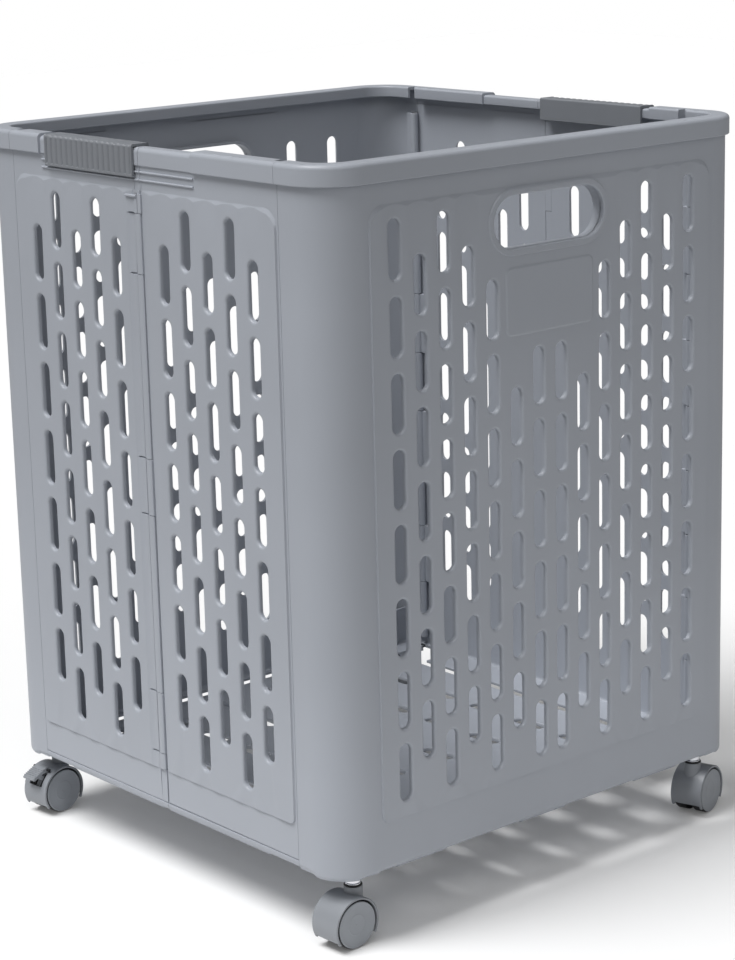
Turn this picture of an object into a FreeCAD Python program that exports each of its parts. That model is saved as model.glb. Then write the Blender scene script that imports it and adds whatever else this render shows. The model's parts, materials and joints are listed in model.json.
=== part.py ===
"""Folding linen trolley: two end shells, four folding half panels, a flip-up floor and four casters.

Millimetres.  +Z is up and the floor that the wheels stand on is z = 0.  The origin is the middle of the
footprint.  -Y is the front end shell, which carries one of the two hand holes.  The two sides at -X and +X
fold inwards at their centre seams.  The whole trolley is the same after half a turn about Z, except for the
floor hinge, its rest bar and the way the casters point.
"""
import FreeCAD, Part
import math
import os

from FreeCAD import Placement, Rotation, Vector

# ---------------------------------------------------------------- driving dimensions
# overall sizes
HALF_WIDTH = 202.0          # outer face of the folding sides, x
HALF_DEPTH = 202.0          # outer face of the end walls, y
BODY_HEIGHT = 492.0
WHEEL_RADIUS = 17.5

# body
CORNER_RADIUS = 32.0        # outside corner of an end shell
WALL = 2.2                  # moulded wall
END_RETURN = 46.0           # how far an end shell reaches round its corner to the corner hinge
SEAM_GAP = 0.4              # between two neighbouring panels

# rim
RIM_PROUD = 3.0             # how far the rim stands out of the wall
RIM_WIDTH = 15.0
RIM_DROP = 14.5             # height of the outer band
RIM_TOP_WALL = 2.5
RIM_LIP_DROP = 9.0          # height of the inner lip
RIM_LIP_WALL = 2.0
RIM_EDGE_RADIUS = 1.8
RIM_NOTCH_GAP = 1.0         # spare room where a half panel's rim swings past the end shell's

# raised fields and slots; a column is (rows left out at its top, number of slots)
FIELD_RAISE = 0.8
FIELD_CORNER = 9.0
END_FIELD_INSET = 38.0      # from the side face to the end field's edge
END_FIELD_BELOW_TOP = 29.5
END_FIELD_ABOVE_BOTTOM = 35.5
SIDE_FIELD_BELOW_TOP = 31.5
SIDE_FIELD_ABOVE_BOTTOM = 31.5
SIDE_FIELD_INSET = 2.0      # from the corner hinge to the side field's edge
SLOT_LENGTH = 41.0
SLOT_WIDTH = 10.5
SLOT_ROWS = 8
SLOT_BANDS = 76.0           # plain height above and below the slots, together
END_SLOTS_BELOW_TOP = 39.5
END_COLUMN_INSET = 22.0     # from the end field's edge to its first column
END_COLUMNS = ((0.0, 8), (0.5, 7), (0.0, 8), (0.5, 7), (1.0, 7), (2.5, 5), (2.0, 6))
SIDE_SLOTS_BELOW_TOP = 42.2
SIDE_FIRST_COLUMN = 28.65   # from the centre seam
SIDE_COLUMN_INSET = 25.95   # from the side field's edge to its last column
SIDE_COLUMNS = ((0.5, 7), (0.0, 8), (0.5, 7), (0.0, 8), (0.5, 7))
CUT_DEPTH = 5.0             # how far a cutter reaches past a wall's outer face, both ways

# hand hole and blank label plate in each end shell
HAND_HOLE_LENGTH = 106.0
HAND_HOLE_HEIGHT = 37.0
HAND_HOLE_BELOW_TOP = 54.0
HAND_BEAD_WIDTH = 5.0
HAND_BEAD_RAISE = 1.6
HAND_LIP_DEPTH = 7.0
HAND_LIP_WALL = 2.2
LABEL_LENGTH = 83.0
LABEL_HEIGHT = 46.0
LABEL_BELOW_TOP = 109.0
LABEL_CORNER = 4.0
LABEL_RAISE = 1.6

# hinges
PIN_RADIUS = 1.6
PIN_CLEARANCE = 0.05
PIN_HEAD_RADIUS = 2.7
PIN_HEAD_HEIGHT = 1.4
KNUCKLE_RADIUS = 3.2
KNUCKLE_GAP = 0.4           # radial and axial, between a knuckle and the other leaf
ARM_LENGTH = 9.0
CENTRE_PIN_PROUD = 2.4      # centre hinge axis outside the side wall
CENTRE_KNUCKLE_SHARES = (0.065, 0.0905, 0.186, 0.4585, 0.5435, 0.815, 0.9025, 0.931)
CORNER_HINGE_ABOVE_BOTTOM = 10.0
CORNER_HINGE_BELOW_TOP = 22.0
CORNER_KNUCKLES = 9

# floor
FLOOR_SIDE_INSET = 37.5
FLOOR_THICKNESS = 3.0
FLOOR_CORNER = 6.0
FLOOR_UNDER_BODY = 0.8      # gap between the floor's top and the bottom edge of the body
FLOOR_END_INSET = 12.0      # from an end face to the hinge axis, and to the floor's rear edge
FLOOR_KNUCKLE_LENGTH = 24.0
FLOOR_KNUCKLE_CENTRES = (-120.0, 0.0, 120.0)
LUG_WIDTH = 10.0
LUG_ROOT = 8.0              # from the floor's hinge axis to the back of a lug
LUG_GAP = 0.5
FLANGE_WALL = 2.2
FLANGE_SIDE_WIDTH = 35.5    # of the corner flanges, from the side face
FLANGE_END_WIDTH = 8.0      # of the flange along an end wall
LEDGE_WIDTH = 32.0
LEDGE_CORNER_GAP = 34.0     # length of ledge left out next to a corner hinge
LEDGE_SEAM_GAP = 3.0
LEDGE_LIFT = 0.2
FOOT_HEIGHT = 3.0
FOOT_WIDTH = 34.5
FOOT_INSET = 2.0
REST_BAR_DEPTH = 18.0
REST_BAR_HEIGHT = 6.0
REST_BAR_GAP = 0.2
REST_BAR_BOSS_GAP = 2.0
REST_BAR_END_INSET = 12.0

# rim sliders
TRACK_BACK = 118.0          # track on the half panel that carries the slider
TRACK_FRONT = 66.0          # track on the other half panel
TRACK_STEP = 1.8            # the rim is this much smaller in the track
RAIL_HEIGHT = 1.2
RAILS_BELOW_TOP = (24.4, 18.8)
SLIDER_LENGTH = 112.0
SLIDER_START = 3.0          # end of the slider from the seam when it is open
SLIDER_WALL = 1.8
SLIDER_GAP = 0.3
SLIDER_DROP = 22.6
SLIDER_INNER_DROP = 15.5
SLIDER_HOOK_HEIGHT = 2.4
SLIDER_RIBS = 18
SLIDER_RIB_GROOVE = 0.6

# casters
CASTER_SIDE_INSET = 27.5
CASTER_END_INSET = 21.0
TREAD_DEPTH = 2.15
WHEEL_INNER_FACE = 2.6
WHEEL_OUTER_FACE = 12.6
HUB_EDGE_RADIUS = 1.0
TREAD_EDGE_RADIUS = 0.8
TREAD_INNER_INSET = 0.3     # of the tread from the hub's inner face
TREAD_OUTER_INSET = 0.9     # and from its outer face
CASTER_TRAIL = 8.0
HOOD_OVER_WHEEL = 2.45
POCKET_OVER_WHEEL = 0.85
HOOD_HALF_WIDTH = 13.0
WEB_HALF_THICKNESS = 2.2
HOOD_FRONT_CUT = 9.5        # height of the hood's lower edge at its front
HOOD_REAR_CUT = 8.0         # and at its rear
CASTER_BOSS_RADIUS = 7.2
CASTER_BOSS_OVER_WHEEL = 7.0
CASTER_BOSS_ROOT = 3.0      # how deep the boss runs into the hood
BODY_OVER_CASTER = 12.0
STEM_RADIUS = 4.0
STEM_OVER_WHEEL = 0.85
STEM_END_GAP = 0.3
STEM_UPPER_RADIUS = 4.75
STEM_IN_SHELL = 26.0
STEM_RING_RADIUS = 5.9
STEM_RING_GAP = 0.3
SOCKET_RADIUS = 7.0
SOCKET_IN_SHELL = 30.0
SOCKET_CLEARANCE = 0.05
SHELL_BOSS_RADIUS = 9.2
SHELL_BOSS_HEIGHT = 34.0
AXLE_RADIUS = 2.0
AXLE_HALF_LENGTH = 10.6
AXLE_END_GAP = 0.4
SPIN_CLEARANCE = 0.05
CASTERS = (("front_left", -1, -1, 182.0, False), ("front_right", 1, -1, 16.0, False),
           ("rear_left", -1, 1, 186.0, True), ("rear_right", 1, 1, 0.0, True))

# brake pedal, in the caster's own frame with the wheels trailing towards +X
PEDAL_OVER_HOOD = 2.2       # the pedal's pin from the hood's outside
PEDAL_PIVOT_ANGLE = 60.0
PEDAL_SLOPE = 25.0
PEDAL_LENGTH = 15.0
PEDAL_THICKNESS = 2.4
PEDAL_HALF_WIDTH = 6.6
PEDAL_SIDE_GAP = 0.3
PEDAL_PIN_RADIUS = 1.2
PEDAL_EYE_RADIUS = 2.3
PEDAL_EYE_GAP = 0.4
PEDAL_RIBS = 5
PEDAL_RIB_HEIGHT = 0.7
PEDAL_RIB_WIDTH = 1.0
PEDAL_RIB_START = 0.35      # of the pedal's length
PEDAL_RIB_END = 0.95
PEDAL_EAR_THICKNESS = 2.4
SHOE_OVER_WHEEL = 2.15
SHOE_ANGLE = 40.0
SHOE_LENGTH = 7.0
SHOE_THICKNESS = 3.2
SHOE_SIDE_INSET = 0.5
SHOE_ROOT = 0.2             # how far the shoe stays under the pedal's top face
WINDOW_LOW_ANGLE = 24.0
WINDOW_HIGH_ANGLE = 52.0

# ---------------------------------------------------------------- derived places
FOLD_LINE = HALF_DEPTH - END_RETURN
CASTER_BOSS_TOP = 2 * WHEEL_RADIUS + CASTER_BOSS_OVER_WHEEL
BODY_BOTTOM = CASTER_BOSS_TOP + BODY_OVER_CASTER
BODY_TOP = BODY_BOTTOM + BODY_HEIGHT
CENTRE_AXIS_X = HALF_WIDTH + CENTRE_PIN_PROUD
CORNER_AXIS_X = HALF_WIDTH - WALL - KNUCKLE_GAP - KNUCKLE_RADIUS
CORNER_KNUCKLE_BOTTOM = BODY_BOTTOM + CORNER_HINGE_ABOVE_BOTTOM
CORNER_KNUCKLE_TOP = BODY_TOP - CORNER_HINGE_BELOW_TOP
CENTRE_KNUCKLE_ENDS = [BODY_BOTTOM + share * BODY_HEIGHT for share in CENTRE_KNUCKLE_SHARES]
KNUCKLE_BORE = PIN_RADIUS + PIN_CLEARANCE
SHELL_EDGE = FOLD_LINE + SEAM_GAP / 2
RIM_INNER = RIM_PROUD - RIM_WIDTH
RIM_BOTTOM = BODY_TOP - RIM_DROP
RIM_NOTCH = CORNER_AXIS_X - (HALF_WIDTH + RIM_INNER) + RIM_NOTCH_GAP
RAIL_LEVELS = [BODY_TOP - below for below in RAILS_BELOW_TOP]
SLIDER_BOTTOM = BODY_TOP - SLIDER_DROP
END_FIELD_HALF_WIDTH = HALF_WIDTH - END_FIELD_INSET
END_FIELD_BOTTOM = BODY_BOTTOM + END_FIELD_ABOVE_BOTTOM
END_FIELD_TOP = BODY_TOP - END_FIELD_BELOW_TOP
SIDE_FIELD_BOTTOM = BODY_BOTTOM + SIDE_FIELD_ABOVE_BOTTOM
SIDE_FIELD_TOP = BODY_TOP - SIDE_FIELD_BELOW_TOP
SIDE_FIELD_EDGE = FOLD_LINE - SIDE_FIELD_INSET
SLOT_PITCH = (BODY_HEIGHT - SLOT_BANDS) / SLOT_ROWS
END_SLOT_TOP = BODY_TOP - END_SLOTS_BELOW_TOP
END_COLUMN_PITCH = (END_FIELD_HALF_WIDTH - END_COLUMN_INSET) / (len(END_COLUMNS) - 0.5)
SIDE_SLOT_TOP = BODY_TOP - SIDE_SLOTS_BELOW_TOP
SIDE_COLUMN_PITCH = (SIDE_FIELD_EDGE - SIDE_COLUMN_INSET - SIDE_FIRST_COLUMN) / (len(SIDE_COLUMNS) - 1)
HAND_HOLE_Z = BODY_TOP - HAND_HOLE_BELOW_TOP
LABEL_Z = BODY_TOP - LABEL_BELOW_TOP
FLOOR_HALF_WIDTH = HALF_WIDTH - FLOOR_SIDE_INSET
FLOOR_TOP = BODY_BOTTOM - FLOOR_UNDER_BODY
FLOOR_UNDERSIDE = FLOOR_TOP - FLOOR_THICKNESS
FLOOR_AXIS_Z = (FLOOR_TOP + FLOOR_UNDERSIDE) / 2
FLOOR_HINGE_Y = FLOOR_END_INSET - HALF_DEPTH
FLOOR_REAR_EDGE = HALF_DEPTH - FLOOR_END_INSET
FLANGE_SIDE_INNER = HALF_WIDTH - FLANGE_SIDE_WIDTH
FLANGE_END_INNER = HALF_DEPTH - FLANGE_END_WIDTH
FOOT_SIDE_INNER = HALF_WIDTH - FOOT_WIDTH
FOOT_BOTTOM = BODY_BOTTOM - FOOT_HEIGHT
CASTER_X = HALF_WIDTH - CASTER_SIDE_INSET
CASTER_Y = HALF_DEPTH - CASTER_END_INSET
REST_BAR_TOP = FLOOR_UNDERSIDE - REST_BAR_GAP
REST_BAR_Y = CASTER_Y - CASTER_BOSS_RADIUS - REST_BAR_BOSS_GAP - REST_BAR_DEPTH
REST_BAR_END = HALF_WIDTH - REST_BAR_END_INSET
HUB_RADIUS = WHEEL_RADIUS - TREAD_DEPTH
HOOD_RADIUS = WHEEL_RADIUS + HOOD_OVER_WHEEL
WHEEL_POCKET_RADIUS = WHEEL_RADIUS + POCKET_OVER_WHEEL
STEM_BOTTOM = 2 * WHEEL_RADIUS + STEM_OVER_WHEEL
STEM_RING_BOTTOM = CASTER_BOSS_TOP + STEM_RING_GAP
STEM_RING_TOP = FOOT_BOTTOM - STEM_RING_GAP
STEM_TOP = BODY_BOTTOM + STEM_IN_SHELL
SOCKET_TOP = BODY_BOTTOM + SOCKET_IN_SHELL
SHELL_BOSS_TOP = BODY_BOTTOM + SHELL_BOSS_HEIGHT
PEDAL_PIVOT_RADIUS = HOOD_RADIUS + PEDAL_OVER_HOOD
SHOE_RADIUS = WHEEL_RADIUS + SHOE_OVER_WHEEL

BEYOND = 100.0              # longer than any small part, for cutters that go right through
TOUCH = 1e-6                # two lengths nearer than this are the same
FULL_ROUND = 0.01           # a slot's end radius is this much under half its width
UP = Vector(0, 0, 1)
ALONG_X = Vector(1, 0, 0)
ALONG_Y = Vector(0, 1, 0)
ORIGIN = Vector(0, 0, 0)


# ---------------------------------------------------------------- shape helpers
def box(low, high):
    size = [b - a for a, b in zip(low, high)]
    return Part.makeBox(size[0], size[1], size[2], Vector(*low))


def cylinder(radius, start, direction, length):
    return Part.makeCylinder(radius, length, Vector(*start), direction)


def rounded_outline(half_x, half_y, radius, centre=(0.0, 0.0)):
    """Closed wire in the XY plane: a rectangle with round corners."""
    cx, cy = centre
    corners = ((1, 1, 0), (-1, 1, 90), (-1, -1, 180), (1, -1, 270))
    edges = []
    joints = []
    for sx, sy, start in corners:
        middle = Vector(cx + sx * (half_x - radius), cy + sy * (half_y - radius), 0)
        points = []
        for step in (0, 45, 90):
            angle = math.radians(start + step)
            points.append(middle + Vector(math.cos(angle), math.sin(angle), 0) * radius)
        joints.append(points)
    for here, after in zip(joints, joints[1:] + joints[:1]):
        edges.append(Part.Arc(*here).toShape())
        if here[2].distanceToPoint(after[0]) > TOUCH:
            edges.append(Part.makeLine(here[2], after[0]))
    return Part.Wire(edges)


def rounded_prism(half_x, half_y, radius, low, high, centre=(0.0, 0.0)):
    face = Part.Face(rounded_outline(half_x, half_y, radius, centre))
    face.translate(Vector(0, 0, low))
    return face.extrude(Vector(0, 0, high - low))


def plate_on_end(half_x, half_z, radius, centre_z, y_low, y_high, centre_x=0.0):
    """Rounded plate that stands in the XZ plane."""
    plate = rounded_prism(half_x, half_z, radius, -y_high, -y_low)
    plate.rotate(ORIGIN, ALONG_X, 90)
    plate.translate(Vector(centre_x, 0, centre_z))
    return plate


def plate_on_side(half_y, half_z, radius, centre_y, centre_z, x_low, x_high):
    """Rounded plate that stands in the YZ plane."""
    plate = rounded_prism(half_z, half_y, radius, x_low, x_high)
    plate.rotate(ORIGIN, ALONG_Y, 90)
    plate.translate(Vector(0, centre_y, centre_z))
    return plate


def wall_ring(outer, inner, low, high):
    """Part of the whole body's wall between two offsets from its outer face."""
    outside = rounded_prism(HALF_WIDTH + outer, HALF_DEPTH + outer, CORNER_RADIUS + outer, low, high)
    inside = rounded_prism(HALF_WIDTH + inner, HALF_DEPTH + inner, CORNER_RADIUS + inner, low, high)
    return outside.cut(inside)


def fused(shapes):
    result = shapes[0].multiFuse(shapes[1:]) if len(shapes) > 1 else shapes[0]
    return result.removeSplitter()


def turned(shape, degrees):
    """Copy of a shape, turned about the trolley's vertical centre line."""
    copy = shape.copy()
    copy.rotate(ORIGIN, UP, degrees)
    return copy


def slot_tops(first_top, column):
    offset, count = column
    return [first_top - (offset + row) * SLOT_PITCH for row in range(count)]


def export(node, shape):
    solid = shape
    if not solid.isValid():
        solid = solid.copy()
        solid.fix(1e-4, 1e-4, 1e-4)
    solid.exportStep(f"parts/{node}.step")
    print(f"{node:32s} solids {len(solid.Solids)}  volume {solid.Volume:12.1f}  valid {solid.isValid()}")


# ---------------------------------------------------------------- rim and hinges
def rim_band(inset=0.0):
    """The whole rim: outer band, flat top and inner lip, made smaller by inset in the slider's track."""
    outer = RIM_PROUD - inset
    inner = RIM_INNER + inset
    top = BODY_TOP - inset
    crown = rounded_prism(HALF_WIDTH + outer, HALF_DEPTH + outer, CORNER_RADIUS + outer,
                          top - RIM_TOP_WALL - RIM_EDGE_RADIUS, top)
    crown = crown.makeFillet(RIM_EDGE_RADIUS, top_edges(crown, top))
    crown = crown.cut(rounded_prism(HALF_WIDTH + inner, HALF_DEPTH + inner, CORNER_RADIUS + inner,
                                    BODY_BOTTOM, BODY_TOP + 1))
    hollow = wall_ring(-WALL, inner + RIM_LIP_WALL, BODY_BOTTOM, top - RIM_TOP_WALL)
    band = wall_ring(outer, -WALL, RIM_BOTTOM, top - RIM_TOP_WALL)
    lip = wall_ring(inner + RIM_LIP_WALL, inner, BODY_TOP - RIM_LIP_DROP, top - RIM_TOP_WALL)
    return fused([crown.cut(hollow), band, lip])


def top_edges(solid, level):
    return [edge for edge in solid.Edges
            if all(abs(vertex.Z - level) < TOUCH for vertex in edge.Vertexes)]


def knuckle(axis_x, axis_y, low, high, arm_x, arm_y):
    """Hinge knuckle with the arm that ties it to its leaf.  arm_x and arm_y are the arm's limits."""
    gap = KNUCKLE_GAP / 2
    barrel = cylinder(KNUCKLE_RADIUS, (axis_x, axis_y, low + gap), UP, high - low - 2 * gap)
    arm = box((min(arm_x), min(arm_y), low + gap), (max(arm_x), max(arm_y), high - gap))
    return [barrel, arm]


def corner_zones(parity):
    """Heights of the corner knuckles: even ones belong to the end shell, odd ones to the half panel."""
    height = (CORNER_KNUCKLE_TOP - CORNER_KNUCKLE_BOTTOM) / CORNER_KNUCKLES
    return [(CORNER_KNUCKLE_BOTTOM + i * height, CORNER_KNUCKLE_BOTTOM + (i + 1) * height)
            for i in range(parity, CORNER_KNUCKLES, 2)]


def centre_zones(parity):
    """Heights of the centre knuckles: even ones belong to the half panel that carries the slider."""
    ends = CENTRE_KNUCKLE_ENDS
    return [(ends[i], ends[i + 1]) for i in range(parity, len(ends) - 1, 2)]


def hinge_bore(axis_x, axis_y, low, high):
    return cylinder(KNUCKLE_BORE, (axis_x, axis_y, low - 1), UP, high - low + 2)


def hinge_pin(axis_x, axis_y, low, high):
    shank = cylinder(PIN_RADIUS, (axis_x, axis_y, low), UP, high - low)
    head = cylinder(PIN_HEAD_RADIUS, (axis_x, axis_y, high), UP, PIN_HEAD_HEIGHT)
    return fused([shank, head])


# ---------------------------------------------------------------- end shells
def end_slots():
    """Cutters for the slots of the front end wall, the same on both sides of the middle."""
    cutters = []
    columns = len(END_COLUMNS)
    for number, column in enumerate(END_COLUMNS):
        x = (columns - number - 0.5) * END_COLUMN_PITCH
        for top in slot_tops(END_SLOT_TOP, column):
            for side in (-1, 1):
                cutters.append(plate_on_end(SLOT_WIDTH / 2, SLOT_LENGTH / 2, SLOT_WIDTH / 2 - FULL_ROUND,
                                            top - SLOT_LENGTH / 2, -HALF_DEPTH - CUT_DEPTH,
                                            -HALF_DEPTH + CUT_DEPTH, side * x))
    return cutters


def hand_hole(grow, y_low, y_high):
    half_height = HAND_HOLE_HEIGHT / 2 + grow
    return plate_on_end(HAND_HOLE_LENGTH / 2 + grow, half_height, half_height - FULL_ROUND,
                        HAND_HOLE_Z, y_low, y_high)


def caster_bosses(radius, low, high):
    return [cylinder(radius, (side * CASTER_X, -CASTER_Y, low), UP, high - low) for side in (-1, 1)]


def corner_flange():
    """Flange under the two corners and along the end wall, and the feet below it."""
    inside = rounded_prism(HALF_WIDTH - WALL / 2, HALF_DEPTH - WALL / 2, CORNER_RADIUS - WALL / 2,
                           BODY_BOTTOM, BODY_BOTTOM + FLANGE_WALL)
    foot = rounded_prism(HALF_WIDTH - FOOT_INSET, HALF_DEPTH - FOOT_INSET, CORNER_RADIUS - FOOT_INSET,
                         FOOT_BOTTOM, BODY_BOTTOM)
    pieces = []
    for side in (-1, 1):
        reach = sorted((side * FLANGE_SIDE_INNER, side * HALF_WIDTH))
        zone = box((reach[0], -HALF_DEPTH, BODY_BOTTOM - 1), (reach[1], -SHELL_EDGE, BODY_TOP))
        pieces.append(inside.common(zone))
        reach = sorted((side * FOOT_SIDE_INNER, side * HALF_WIDTH))
        zone = box((reach[0], -HALF_DEPTH, 0), (reach[1], -SHELL_EDGE, BODY_TOP))
        pieces.append(foot.common(zone))
    strip = box((-HALF_WIDTH, -HALF_DEPTH, BODY_BOTTOM), (HALF_WIDTH, -FLANGE_END_INNER, BODY_TOP))
    pieces.append(inside.common(strip))
    return pieces


def reach_in_wall(half_size, across, half_across):
    """How far a web beside a round corner may reach and still end inside the wall."""
    beside = max(across - (half_across - CORNER_RADIUS), 0)
    return half_size - CORNER_RADIUS + math.sqrt((CORNER_RADIUS - WALL / 2) ** 2 - beside ** 2)


def boss_ribs():
    """Two webs that tie each caster boss to the end wall and the side return."""
    webs = []
    half = WALL / 2
    end_reach = reach_in_wall(HALF_DEPTH, CASTER_X + half, HALF_WIDTH)
    side_reach = reach_in_wall(HALF_WIDTH, CASTER_Y + half, HALF_DEPTH)
    for side in (-1, 1):
        x = side * CASTER_X
        webs.append(box((x - half, -end_reach, BODY_BOTTOM),
                        (x + half, -CASTER_Y, SHELL_BOSS_TOP)))
        reach = sorted((x, side * side_reach))
        webs.append(box((reach[0], -CASTER_Y - half, BODY_BOTTOM),
                        (reach[1], -CASTER_Y + half, SHELL_BOSS_TOP)))
    return webs


def end_shell():
    """End shell at -Y: wall, rim, raised field, hand hole, caster bosses and its corner hinge knuckles."""
    shell_side = box((-2 * HALF_WIDTH, -2 * HALF_DEPTH, 0), (2 * HALF_WIDTH, -SHELL_EDGE, 2 * BODY_TOP))
    wall = wall_ring(0, -WALL, BODY_BOTTOM, BODY_TOP - RIM_TOP_WALL - RIM_EDGE_RADIUS).common(shell_side)
    rim = rim_band().common(shell_side)
    outside = -HALF_DEPTH
    field = plate_on_end(END_FIELD_HALF_WIDTH, (END_FIELD_TOP - END_FIELD_BOTTOM) / 2, FIELD_CORNER,
                         (END_FIELD_TOP + END_FIELD_BOTTOM) / 2, outside - FIELD_RAISE, outside + WALL / 2)
    bead = hand_hole(HAND_BEAD_WIDTH, outside - HAND_BEAD_RAISE, outside + WALL / 2)
    lip = hand_hole(HAND_LIP_WALL, outside, outside + WALL + HAND_LIP_DEPTH)
    label = plate_on_end(LABEL_LENGTH / 2, LABEL_HEIGHT / 2, LABEL_CORNER, LABEL_Z,
                         outside - LABEL_RAISE, outside + WALL / 2)
    parts = [wall, rim, field, bead, lip, label]
    parts += corner_flange()
    parts += caster_bosses(SHELL_BOSS_RADIUS, BODY_BOTTOM, SHELL_BOSS_TOP)
    parts += boss_ribs()
    for side in (-1, 1):
        axis_x = side * CORNER_AXIS_X
        for low, high in corner_zones(0):
            arm_x = (axis_x, side * (HALF_WIDTH - WALL / 2))
            parts += knuckle(axis_x, -FOLD_LINE, low, high, arm_x, (-FOLD_LINE - ARM_LENGTH, -FOLD_LINE))
    shell = fused(parts)
    cutters = end_slots()
    cutters.append(hand_hole(0, outside - CUT_DEPTH, outside + WALL + HAND_LIP_DEPTH + CUT_DEPTH))
    cutters += caster_bosses(SOCKET_RADIUS + SOCKET_CLEARANCE, FOOT_BOTTOM - 1, SOCKET_TOP)
    for side in (-1, 1):
        cutters.append(hinge_bore(side * CORNER_AXIS_X, -FOLD_LINE, CORNER_KNUCKLE_BOTTOM,
                                  CORNER_KNUCKLE_TOP))
    for side in (-1, 1):
        # nothing outside the wall's inner face reaches past the fold line
        reach = sorted((side * (HALF_WIDTH - WALL), side * (HALF_WIDTH + RIM_PROUD + 1)))
        cutters.append(box((reach[0], -SHELL_EDGE, 0), (reach[1], 0, BODY_TOP + 1)))
    return shell.cut(cutters)


def floor_lug_places():
    """The x limits of the lugs that stand on both sides of each floor knuckle."""
    places = []
    for centre in FLOOR_KNUCKLE_CENTRES:
        for side in (-1, 1):
            near = centre + side * (FLOOR_KNUCKLE_LENGTH / 2 + LUG_GAP)
            places.append(sorted((near, near + side * LUG_WIDTH)))
    return places


def floor_lugs():
    """Lugs under the front flange that hold the floor's hinge pins, with a sloping front."""
    root_z = BODY_BOTTOM + FLANGE_WALL / 2
    lugs = []
    for low, high in floor_lug_places():
        corners = [Vector(low, FLOOR_HINGE_Y, FLOOR_AXIS_Z - KNUCKLE_RADIUS),
                   Vector(low, FLOOR_HINGE_Y, root_z),
                   Vector(low, FLOOR_HINGE_Y - LUG_ROOT, root_z)]
        web = Part.Face(Part.makePolygon(corners + corners[:1])).extrude(Vector(high - low, 0, 0))
        nose = cylinder(KNUCKLE_RADIUS, (low, FLOOR_HINGE_Y, FLOOR_AXIS_Z), ALONG_X, high - low)
        lugs += [web, nose]
    return lugs


def front_shell():
    shell = fused([end_shell()] + floor_lugs())
    reach = -FLOOR_KNUCKLE_CENTRES[0] + FLOOR_KNUCKLE_LENGTH
    bore = cylinder(KNUCKLE_BORE, (-reach, FLOOR_HINGE_Y, FLOOR_AXIS_Z), ALONG_X, 2 * reach)
    return shell.cut(bore)


def rear_shell():
    return turned(end_shell(), 180)


# ---------------------------------------------------------------- folding side at -X
def side_slots(direction):
    """Cutters for the slots of one half panel.  direction is -1 for the front half, 1 for the rear."""
    cutters = []
    for number, column in enumerate(SIDE_COLUMNS):
        y = direction * (SIDE_FIRST_COLUMN + number * SIDE_COLUMN_PITCH)
        for top in slot_tops(SIDE_SLOT_TOP, column):
            cutters.append(plate_on_side(SLOT_WIDTH / 2, SLOT_LENGTH / 2, SLOT_WIDTH / 2 - FULL_ROUND, y,
                                         top - SLOT_LENGTH / 2, -HALF_WIDTH - CUT_DEPTH,
                                         -HALF_WIDTH + CUT_DEPTH))
    return cutters


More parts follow.
